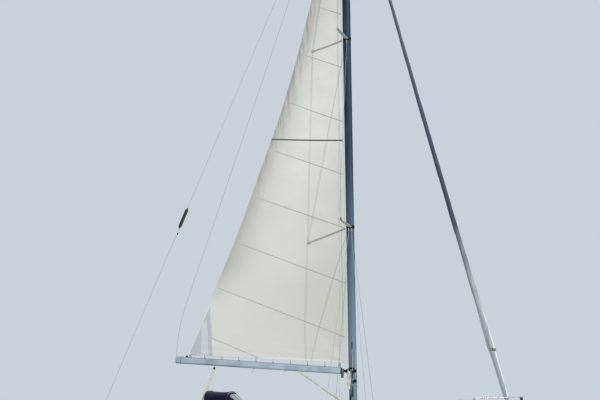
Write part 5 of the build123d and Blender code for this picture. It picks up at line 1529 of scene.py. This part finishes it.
def make_window_frames():
    """Alloy frame round each window, lying on the coachroof's side."""
    roof = surface("coachroof")
    lines = []
    for x0, x1, z0, z1 in WINDOWS:
        edges = (x0 - FRAME_LAP, x1 + FRAME_LAP, z0 - FRAME_LAP, z1 + FRAME_LAP)
        loop = rounded_loop(*edges, FRAME_CORNER, 5)
        for hand in (-1, 1):
            line = []
            for x, z in loop:
                hit = roof.ray_cast(Vector((x, hand * OUTSIDE, z)), Vector((0, -hand, 0)))[0]
                if hit is not None:
                    line.append(Vector((x, hit.y + hand * 0.002, z)))
            lines.append(line)
    tubes("window_frames", lines, FRAME_R, "boom_anodised", "hull", 8)


make_window_frames()

# Running rigging


def rope_to_boom(name, lines, radius, material):
    """Taut rope that starts on the hull and ends on the boom."""
    rope = tubes(name, lines, radius, material, None, 8)
    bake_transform(rope)


# Topping lift, blown a little aft of the straight line. Columns: x, z
TOPPING_LIFT = (
    (-0.400, 14.550),
    (-1.700, 10.550),
    (-3.176, 6.211),
    (-3.509, 5.235),
    (-3.767, 4.481),
    (-4.022, 3.667),
    (-4.125, 2.905),
)


def topping_lift():
    """Thin line from the mast's top to the boom's end."""
    line = smooth_line([(x, 0, z) for x, z in TOPPING_LIFT], 8)
    rope_to_boom("topping_lift", [line], 0.0035, "grey_rope")


# Mainsheet. Its parts are offsets across the boat and fore and aft. Each has many rings along
# its length
TRAVELLER_X = -3.760
TRAVELLER_BLOCK_Z = 1.130
SHEET_BOOM_RUN = 3.075
SHEET_PARTS = ((-0.006, 0.027), (0.006, -0.027), (0.003, 0.009), (-0.003, -0.009))
SHEET_RINGS = 25
SHEET_BLOCK_R = 0.028


def mainsheet():
    """Four parts of rope between a block on the traveller and one under the boom."""
    top = boom_at(SHEET_BOOM_RUN, 0, -BOOM_HEIGHT / 2 - 0.060)
    low = Vector((TRAVELLER_X, 0.0, TRAVELLER_BLOCK_Z))
    make_block("mainsheet_upper_block", top, "boom", SHEET_BLOCK_R)
    make_block("mainsheet_lower_block", low, "hull", SHEET_BLOCK_R)
    lines = []
    for side, lean in SHEET_PARTS:
        start, end = low + Vector((lean, -side, 0)), top + Vector((lean, side, 0))
        lines.append([start.lerp(end, t) for t in spread(0, 1, SHEET_RINGS)])
    rope_to_boom("mainsheet", lines, 0.007, "white_rope")


# Boom gear, at distances aft of the boom's pin
BAIL_RUNS = (SHEET_BOOM_RUN, 2.16, 1.42)
JOINT_RUNS = (3.870, 0.146)
JOINT_CORNER = 0.042


def bail(run):
    """Bent steel strap under the boom for a block."""
    half, low = BOOM_WIDTH / 2 - 0.004, -BOOM_HEIGHT / 2
    leg = ((half, low + 0.045), (half, low), (0.012, low - 0.030))
    bend = leg + ((0, low - 0.034),) + tuple((-side, up) for side, up in leg[::-1])
    return smooth_line([boom_at(run, side, up) for side, up in bend], 3)


def boom_gear():
    """Bails, blocks, the joint lines of the end castings and the gooseneck's cheeks."""
    tubes("boom_bails", [bail(run) for run in BAIL_RUNS], 0.004, "polished_steel", "boom", 8)
    for where, run in zip(("middle", "forward"), BAIL_RUNS[1:]):
        hung = boom_at(run, 0, -BOOM_HEIGHT / 2 - 0.062)
        make_block("boom_" + where + "_block", hung, "boom", 0.026, 0.022, "white_plastic")
    half, tall = BOOM_WIDTH / 2, BOOM_HEIGHT / 2
    loop = rounded_loop(-half, half, -tall, tall, JOINT_CORNER, 6)
    rings = [[boom_at(run, side, up) for side, up in loop] for run in JOINT_RUNS]
    tubes("boom_joints", rings, 0.0035, "black_fitting", "boom", 6)
    plates = [(boom_at(0.100, side, -0.055), (0.060, 0.010, 0.215), BOOM_TURN) for side in (-0.034, 0.034)]
    plates.append((boom_at(0.118, 0, -0.030), (0.030, 0.070, 0.170), BOOM_TURN))
    boxes("gooseneck_cheeks", plates, "gooseneck_casting", "boom", 0.004)


# Foot of the sail: slides on a track along the boom, each lashed to the foot above it
FOOT_SLIDES = 9
FOOT_SLIDE_START = 0.52
FOOT_SLIDE_PITCH = 0.40
FOOT_SLIDE = (0.045, 0.018, 0.012)
FOOT_START = 0.05
FOOT_RUN = 3.66
FOOT_HEIGHTS = (2.752, 2.935)
FOOT_TRACK = (0.16, 3.86)
OUTHAUL_RUNS = (3.735, 3.955)
OUTHAUL_CAR = ((0.006, -0.02), (0.020, -0.018), (0.024, 0.0), (0.020, 0.018), (0.006, 0.02))
LEECH_TAIL = ((-3.735, -0.006, 3.22), (-3.77, -0.02, 3.28), (-3.835, -0.02, 3.325))


def foot_gear():
    """Foot slides and their lashings, the track, the outhaul and the tail of the leech line."""
    slides, hangers = [], []
    tall = BOOM_HEIGHT / 2
    for k in range(FOOT_SLIDES):
        run = FOOT_SLIDE_START + FOOT_SLIDE_PITCH * k
        top = boom_at(run, 0, tall)
        slides.append((top + Vector((0, 0, 0.005)), BOOM_TURN))
        share = (run - FOOT_START) / FOOT_RUN
        foot_z = FOOT_HEIGHTS[0] + (FOOT_HEIGHTS[1] - FOOT_HEIGHTS[0]) * share
        hangers.append([top + Vector((0, 0, 0.006)), Vector((top.x, 0.004, foot_z + 0.012))])
    slug = boxes("foot_slide", [((0, 0, 0), FOOT_SLIDE)], "black_fitting", None, 0.003)
    repeated("foot_slides", slug, slides, "black_fitting", "boom")
    tubes("foot_lashings", hangers, 0.0035, "black_fitting", "boom", 6)
    track = [boom_at(run, 0, tall - 0.001) for run in spread(*FOOT_TRACK, 12)]
    sweep("foot_track", [track], bar(0.016, 0.004), "black_fitting", "boom")
    shackle = boom_at(OUTHAUL_RUNS[0], 0, tall + 0.020)
    lathe("outhaul_car", OUTHAUL_CAR, 16, "black_fitting", "boom", shackle, (0, 1, 0))
    end = boom_at(OUTHAUL_RUNS[1], 0, tall - 0.004)
    tubes("outhaul", [[shackle, end]], 0.0045, "blue_fleck_rope", "boom", 8)
    tubes("leech_line_tail", [smooth_line(LEECH_TAIL, 5)], 0.006, "white_rope", "boom", 6)


# Luff of the sail, as heights on the mast. The slides are SLIDE_PITCH apart
MAST_TRACK_Z = (2.25, 14.2)
LUFF_SLIDE_Z = (2.90, 13.78)
LUFF_SLIDES = 18
LUFF_SLIDE = (0.012, 0.014, 0.050)


def luff_gear():
    """Track on the mast's after face, and the slides that hold the luff to it."""
    after = -MAST_DEPTH / 2
    track = [mast_at(z, after - 0.001) for z in spread(*MAST_TRACK_Z, 60)]
    sweep("mast_track", [track], bar(0.022, 0.002), "cast_alloy", "hull")
    slides = [(mast_at(z, after - 0.011), MAST_TURN) for z in spread(*LUFF_SLIDE_Z, LUFF_SLIDES)]
    slide = boxes("luff_slide", [((0, 0, 0), LUFF_SLIDE)], "white_plastic", None, 0.002)
    repeated("luff_slides", slide, slides, "white_plastic", "hull")


# Feet of the shrouds and where each wire runs to. Columns: foot x, foot half width, top x,
# top half width, top z
SHROUD_FEET = (
    (-0.200, 1.400, -0.192, 1.100, 6.016),
    (-0.580, 1.400, -0.092, 0.090, 5.860),
    (0.430, 1.340, -0.036, 0.090, 5.860),
)
SHROUD_EYE_Z = 1.300
SCREW_START = 0.075
# Body of a rigging screw with its two locknuts, as (radius, height)
SCREW_PROFILE = (
    (0.0062, 0.0),
    (0.0085, 0.002),
    (0.0085, 0.012),
    (0.0070, 0.014),
    (0.0095, 0.018),
    (0.0110, 0.030),
    (0.0110, 0.150),
    (0.0095, 0.162),
    (0.0070, 0.166),
    (0.0085, 0.168),
    (0.0085, 0.178),
    (0.0062, 0.180),
)


def rigging_screws():
    """Turned bodies of the rigging screws, with locknuts, on the foot of every shroud."""
    places = []
    for x0, y0, x1, y1, z1 in SHROUD_FEET:
        for hand in (-1, 1):
            foot = Vector((x0, hand * y0, SHROUD_EYE_Z))
            run = (Vector((x1, hand * y1, z1)) - foot).normalized()
            turn = Vector((0, 0, 1)).rotation_difference(run).to_matrix()
            places.append((foot + run * SCREW_START, turn))
    screw = lathe("rigging_screw", SCREW_PROFILE, 16, "polished_steel")
    repeated("rigging_screws", screw, places, "polished_steel", "hull")


# Shackle under the reflector on the backstay, as (x, z) and as (radius, height)
BACKSTAY_SHACKLE = (-4.108, 5.730)
SHACKLE_PROFILE = ((0.004, 0.0), (0.011, 0.004), (0.013, 0.020), (0.011, 0.044), (0.004, 0.050))


def backstay_shackle():
    """Small black shackle on the backstay."""
    x, z = BACKSTAY_SHACKLE
    top = mast_at(14.50, -0.15)
    run = (top - Vector((x, 0, z))).normalized()
    lathe("backstay_shackle", SHACKLE_PROFILE, 14, "black_fitting", "hull", (x, 0, z), run)


MAST_TOP_Z = 14.60
AERIAL_LENGTH = 0.34
VANE_AHEAD = 0.16
MASTHEAD_LAMP = ((0.028, 0), (0.030, 0.006), (0.030, 0.060), (0.026, 0.068), (0.010, 0.072))


def masthead_gear():
    """Wind vane, aerial and light on the mast's top."""
    top = mast_at(MAST_TOP_Z)
    aerial = [top + Vector((-0.16, 0.02, height)) for height in (0.0, AERIAL_LENGTH)]
    tubes("vhf_aerial", [aerial], 0.0025, "black_fitting", "hull", 8)
    post = [top + Vector((VANE_AHEAD, 0, height)) for height in (0.0, 0.16)]
    tubes("vane_post", [post], 0.004, "black_fitting", "hull", 8)
    arrow = top + Vector((VANE_AHEAD, 0, 0.165))
    shaft = [arrow + Vector((reach, 0, 0)) for reach in (-0.14, 0.17)]
    fork = [arrow + Vector((-0.10, -0.10, -0.03)), arrow, arrow + Vector((-0.10, 0.10, -0.03))]
    tubes("vane_arms", [shaft, fork], 0.0022, "black_fitting", "hull", 6)
    tail = (arrow + Vector((-0.12, 0, 0.0)), (0.07, 0.0016, 0.035))
    boxes("vane_tail", [tail], "red_plastic", "hull", 0)
    lamp = top + Vector((-0.03, 0, -0.002))
    lathe("masthead_light", MASTHEAD_LAMP, 20, "clear_vinyl", "hull", lamp)


# Fittings on the mast. Winches are at one distance forward of its centre line; cleats are height,
# distance forward and share of the mast's half width; slots are height and distance forward
STRAP_HEIGHTS = (2.612, 2.624, 2.636)
WINCH_FORWARD = 0.055
WINCH_HEIGHTS = (2.567, 2.338)
DRUM = (
    (0.036, 0.0),
    (0.038, 0.008),
    (0.030, 0.018),
    (0.029, 0.060),
    (0.036, 0.074),
    (0.036, 0.086),
    (0.010, 0.094),
)
CLEATS = ((2.06, 0.0, 1.0), (1.96, -0.055, 0.80))
CLEAT_HORN = ((-0.030, -0.085), (-0.028, -0.03), (-0.028, 0.03), (-0.030, 0.085))
EXIT_SLOTS = ((2.49, -0.004), (2.12, 0.0), (3.15, -0.004))
EXIT_SLOT = (0.022, 0.004, 0.180)


def mast_gear():
    """Gooseneck straps, halyard winches, cleats and exit slots."""
    side = -MAST_BREADTH / 2
    deep, broad = MAST_DEPTH / 2 + 0.003, MAST_BREADTH / 2 + 0.003
    straps = []
    for z in STRAP_HEIGHTS:
        turns = spread(math.radians(60), math.radians(300), 37)
        straps.append([mast_at(z, deep * math.cos(a), broad * math.sin(a)) for a in turns])
    tubes("gooseneck_straps", straps, 0.006, "black_fitting", "hull", 8)
    for index, z in enumerate(WINCH_HEIGHTS):
        at = mast_at(z, WINCH_FORWARD, side + 0.012)
        lathe("mast_winch_" + str(index), DRUM, 28, "black_fitting", "hull", at, (0, -1, 0))
        at = mast_at(z - 0.12, WINCH_FORWARD, -side - 0.012)
        lathe("mast_winch_port_" + str(index), DRUM, 28, "black_fitting", "hull", at, (0, 1, 0))
    for index, (z, forward, share) in enumerate(CLEATS):
        at = mast_at(z, forward, side * share - 0.012)
        horn = smooth_line([at + Vector((0, out, up)) for out, up in CLEAT_HORN], 4)
        legs = [[at + Vector((0, out, up)) for out in (0.010, -0.028)] for up in (-0.02, 0.02)]
        tubes("mast_cleat_" + str(index), [horn] + legs, 0.0085, "black_fitting", "hull", 10)
    slots = []
    for z, forward in EXIT_SLOTS:
        slots.append((mast_at(z, forward, side * 0.99 - 0.0005), EXIT_SLOT, MAST_TURN))
    boxes("mast_exit_slots", slots, "rubber", "hull", 0.001)


# Hank of halyard tails against the mast's after side, below the gooseneck
HANK_STRANDS = 5
HANK_TOP_Z = 2.560
HANK_LENGTH = 0.42
HANK_SWELL = 0.034


def halyards():
    """Halyard tails made up into one long hank, and the halyards above their winches."""
    side = -MAST_BREADTH / 2
    strands = []
    for k in range(HANK_STRANDS):
        start = 2 * math.pi * k / HANK_STRANDS
        strand = []
        for t in spread(0, 1, 15):
            turn = start + t * 2.5
            swell = HANK_SWELL * math.sin(math.pi * (0.15 + 0.80 * t)) + 0.004
            forward = -MAST_DEPTH / 2 + 0.004 + swell * 0.9 * math.cos(turn)
            out = -0.080 + swell * 0.5 * math.sin(turn)
            strand.append(mast_at(HANK_TOP_Z - HANK_LENGTH * t, forward, out))
        strands.append(strand)
    tubes("halyard_hank", strands, 0.011, "white_rope", "hull", 10)
    low = [
        [mast_at(2.575, 0.0, side - 0.045), mast_at(3.08, -0.004, side - 0.006)],
        [mast_at(2.335, 0.060, side - 0.045), mast_at(3.05, 0.075, side + 0.016)],
    ]
    tubes("halyards_low", low, 0.0045, "blue_fleck_rope", "hull", 8)
    main = [Vector((-0.372, 0.004, 13.845)), mast_at(14.50, -MAST_DEPTH / 2 - 0.050)]
    tubes("main_halyard", [main], 0.004, "blue_fleck_rope", "hull", 8)


# Tips of the spreaders. Columns: name, height, x, half width
SPREADER_TIPS = (("upper", 10.373, -0.270, 0.940), ("lower", 6.016, -0.192, 1.100))
TIP_PROFILE = (
    (0.010, 0.0),
    (0.018, 0.006),
    (0.020, 0.020),
    (0.020, 0.042),
    (0.015, 0.058),
    (0.008, 0.066),
)


def spreader_tips():
    """Cloth sleeves on the spreader tips, round the shrouds there."""
    for name, z, x, y in SPREADER_TIPS:
        for hand in (-1, 1):
            at = Vector((x - 0.002, hand * y, z - 0.030))
            lathe("tip_boot_" + name + str(hand + 1), TIP_PROFILE, 18, "tip_sleeve", "hull", at)


topping_lift()
mainsheet()
boom_gear()
foot_gear()
luff_gear()
rigging_screws()
backstay_shackle()
masthead_gear()
mast_gear()
halyards()
spreader_tips()

# Deck gear

VENT_X = 0.62
VENT_Y = 0.38
VENT_FOOT = ((0.075, 0), (0.075, 0.006), (0.058, 0.012), (0.052, 0.05))
VENT_MOUTH = ((0.070, 0.0), (0.060, 0.001), (0.004, 0.0012))
# Bend of the cowl forward and up, the height where it starts, its radius there and how much wider
# the mouth is
VENT_BEND = (0.075, 0.105)
VENT_START = 0.048
VENT_NECK_R = 0.048
VENT_FLARE = 0.030


def make_vents():
    """Cowl vents each side of the mast, each on a round foot."""
    for hand in (-1, 1):
        mark = str(hand + 1)
        foot = drop(VENT_X, hand * VENT_Y)
        lathe("vent_foot_" + mark, VENT_FOOT, 28, "white_plastic", "hull", foot)
        path, radii = [], []
        for t in spread(0, 1, 12):
            angle = math.radians(90 * t)
            ahead, up = VENT_BEND[0] * (1 - math.cos(angle)), VENT_BEND[1] * math.sin(angle)
            path.append(foot + Vector((ahead, 0, VENT_START + up)))
            radii.append(VENT_NECK_R + VENT_FLARE * t * t)
        tubes("vent_cowl_" + mark, [path], radii, "white_plastic", "hull", 24)
        mouth = path[-1] + Vector((0.0015, 0, 0))
        lathe("vent_mouth_" + mark, VENT_MOUTH, 28, "rubber", "hull", mouth, (1, 0, 0))


# Lids that lift. Columns: node and body, finish of the trim, side of the hinges (1 is forward)
LIDS = (("fore_hatch", "rubber", 1), ("anchor_locker_lid", "gelcoat_smooth", -1))
LID_RIM = 0.030
HINGE_SIZE = (0.055, 0.045, 0.006)
HINGE_SHARE = 0.44
LID_HANDLE = ((-0.05, 0), (-0.045, 0.022), (0.045, 0.022), (0.05, 0))
PULL_HALF = (0.030, 0.022)


def make_lid_gear():
    """Hinges, handles and edge trims of the lids and hatches."""
    for lid, trim, hinge_side in LIDS:
        low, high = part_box(lid)
        top = high.z
        x0, x1, y0, y1 = low.x + LID_RIM, high.x - LID_RIM, low.y + LID_RIM, high.y - LID_RIM
        loop = [Vector((x, y, top)) for x, y in ((x0, y0), (x1, y0), (x1, y1), (x0, y1), (x0, y0))]
        tubes(lid + "_trim", [loop], 0.006, trim, lid, 8)
        edge = x1 if hinge_side > 0 else x0
        hinges = [((edge, y * HINGE_SHARE, top + 0.003), HINGE_SIZE) for y in (low.y, high.y)]
        boxes(lid + "_hinges", hinges, "polished_steel", lid, 0.002)
        grip = low.x + 0.06 if hinge_side > 0 else high.x - 0.06
        handle = [Vector((grip, y, top + up)) for y, up in LID_HANDLE]
        tubes(lid + "_handle", [smooth_line(handle, 4)], 0.005, "polished_steel", lid, 8)
    for side, toward in (("port", 1), ("stbd", -1)):
        lid = "locker_lid_" + side
        low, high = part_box(lid)
        inner = low.y if side == "port" else high.y
        centre = Vector(((low.x + high.x) / 2, inner + toward * 0.055, high.z + 0.003))
        pull = loop_round(centre, Vector((PULL_HALF[0], 0, 0)), Vector((0, PULL_HALF[1], 0)), 20)
        tubes("locker_pull_" + side, [pull], 0.004, "polished_steel", lid, 8)


BOW_LAMP = ((0.030, 0), (0.036, 0.006), (0.036, 0.062), (0.030, 0.070), (0.006, 0.074))
STERN_LAMP = ((0.026, 0), (0.030, 0.006), (0.030, 0.050), (0.024, 0.058), (0.006, 0.060))


def make_lamps():
    """Bow light on the pulpit and stern light on the pushpit."""
    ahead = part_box("pulpit")[1]
    at = Vector((ahead.x - 0.012, 0, ahead.z - 0.085))
    lathe("bow_light", BOW_LAMP, 24, "smoked_acrylic", "hull", at)
    low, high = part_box("pushpit")
    at = Vector((low.x + 0.012, 0.18, high.z - 0.063))
    lathe("stern_light", STERN_LAMP, 24, "clear_vinyl", "hull", at)


RIM_R = 0.015
LEATHER_R = 0.0165
COMPASS_R = 0.062
COMPASS_DOME = 0.055


def make_helm_gear():
    """Leather round the wheel rim, compass and lever on the pedestal."""
    low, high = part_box("steering_wheel")
    radius = (high.z - low.z) / 2 - RIM_R
    rim = loop_round((low + high) / 2, Vector((0, radius, 0)), Vector((0, 0, radius)), 97)
    tubes("wheel_leather", [rim], LEATHER_R, "rubber", "wheel", 12)
    low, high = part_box("steering_pedestal")
    middle = (low.x + high.x) / 2
    dome = [(0.070, 0.0), (0.074, 0.008), (0.074, 0.030)]
    for angle in spread(0, math.pi / 2, 8):
        dome.append((COMPASS_R * math.cos(angle) + 0.001, 0.030 + COMPASS_DOME * math.sin(angle)))
    lathe("compass", dome, 32, "smoked_acrylic", "hull", (middle, 0, high.z))
    lever = [
        Vector((middle, high.y, high.z - 0.16)),
        Vector((middle, high.y + 0.030, high.z - 0.155)),
        Vector((middle + 0.02, high.y + 0.036, high.z - 0.04)),
    ]
    tubes("throttle_lever", [smooth_line(lever, 4)], 0.007, "polished_steel", "hull", 10)


# Teak slats on the seats and the sole, as the x of each pad's ends
SEAT_PADS = ((-5.40, -4.74), (-4.01, -3.06))
SOLE_PADS = ((-5.30, -4.79), (-4.40, -3.86), (-3.66, -3.06))
SLAT_THICKNESS = 0.006


def slats(x0, x1, z, first, pitch, count, width):
    """Blocks of one pad: slats side by side across the boat, lying on a height."""
    middle, level = (x0 + x1) / 2, z + SLAT_THICKNESS / 2
    size = (x1 - x0, width, SLAT_THICKNESS)
    return [((middle, first + pitch * k, level), size) for k in range(count)]


def make_teak():
    """Teak slats laid on the cockpit seats and sole."""
    seats, sole = [], []
    for hand in (-1, 1):
        for x0, x1 in SEAT_PADS:
            z = drop((x0 + x1) / 2, hand * 0.70).z
            seats += slats(x0, x1, z, hand * 0.49, hand * 0.052, 9, 0.046)
    boxes("seat_slats", seats, "varnished_teak", "hull", 0.001)
    for x0, x1 in SOLE_PADS:
        z = drop((x0 + x1) / 2, 0.2).z
        sole += slats(x0, x1, z, -0.364, 0.056, 14, 0.050)
    boxes("sole_slats", sole, "varnished_teak", "hull", 0.001)


LADDER_Y = (0.26, 0.58)
LADDER_Z = (1.02, 0.42)
LADDER_OUT = 0.030
LADDER_R = 0.0125


def make_ladder():
    """Folded steel ladder on the transom."""
    rails = []
    for y in LADDER_Y:
        rail = []
        for z in spread(*LADDER_Z, 6):
            hit = SIDE.ray_cast(Vector((ASTERN, y, z)), Vector((1, 0, 0)))[0]
            rail.append(hit - Vector((LADDER_OUT, 0, 0)))
        rails.append(rail)
    rungs = [[rails[0][k], rails[1][k]] for k in (1, 3, 5)]
    feet = [[rail[k] + Vector((0.032, 0, 0)), rail[k]] for rail in rails for k in (0, 3)]
    tubes("transom_ladder", rails + rungs + feet, LADDER_R, "polished_steel", "hull", 12)


make_vents()
make_lid_gear()
make_lamps()
make_helm_gear()
make_teak()
make_ladder()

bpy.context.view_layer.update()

# Floor at the waterline
FLOOR_SIZE = 60.0


def make_floor():
    """Pale floor that takes the boat's shadow."""
    # Rolled matt paint: pale grey with faint clouds and no shine
    mat, tree, bsdf = shader("pale_floor", 0.9)
    where = add(tree, "TexCoord", "Object")
    cloudy = add(tree, "TexNoise", "Fac", {"Vector": where, "Scale": 1 / (3000 * MM)})
    cloudy = add(tree, "MapRange", 0, {"Value": cloudy, "From Min": 0.3, "From Max": 0.7})
    colour = add(tree, "Mix", 2, {0: cloudy, 6: "d9dadb", 7: "e0e1e2"}, data_type="RGBA")
    finish_with(tree, bsdf, base_color=colour)
    MAT["pale_floor"] = mat
    half = FLOOR_SIZE / 2
    corners = [(-half, -half, 0), (half, -half, 0), (half, half, 0), (-half, half, 0)]
    floor = mesh_piece("floor", corners, [(0, 1, 2, 3)], "pale_floor", None)


make_floor()
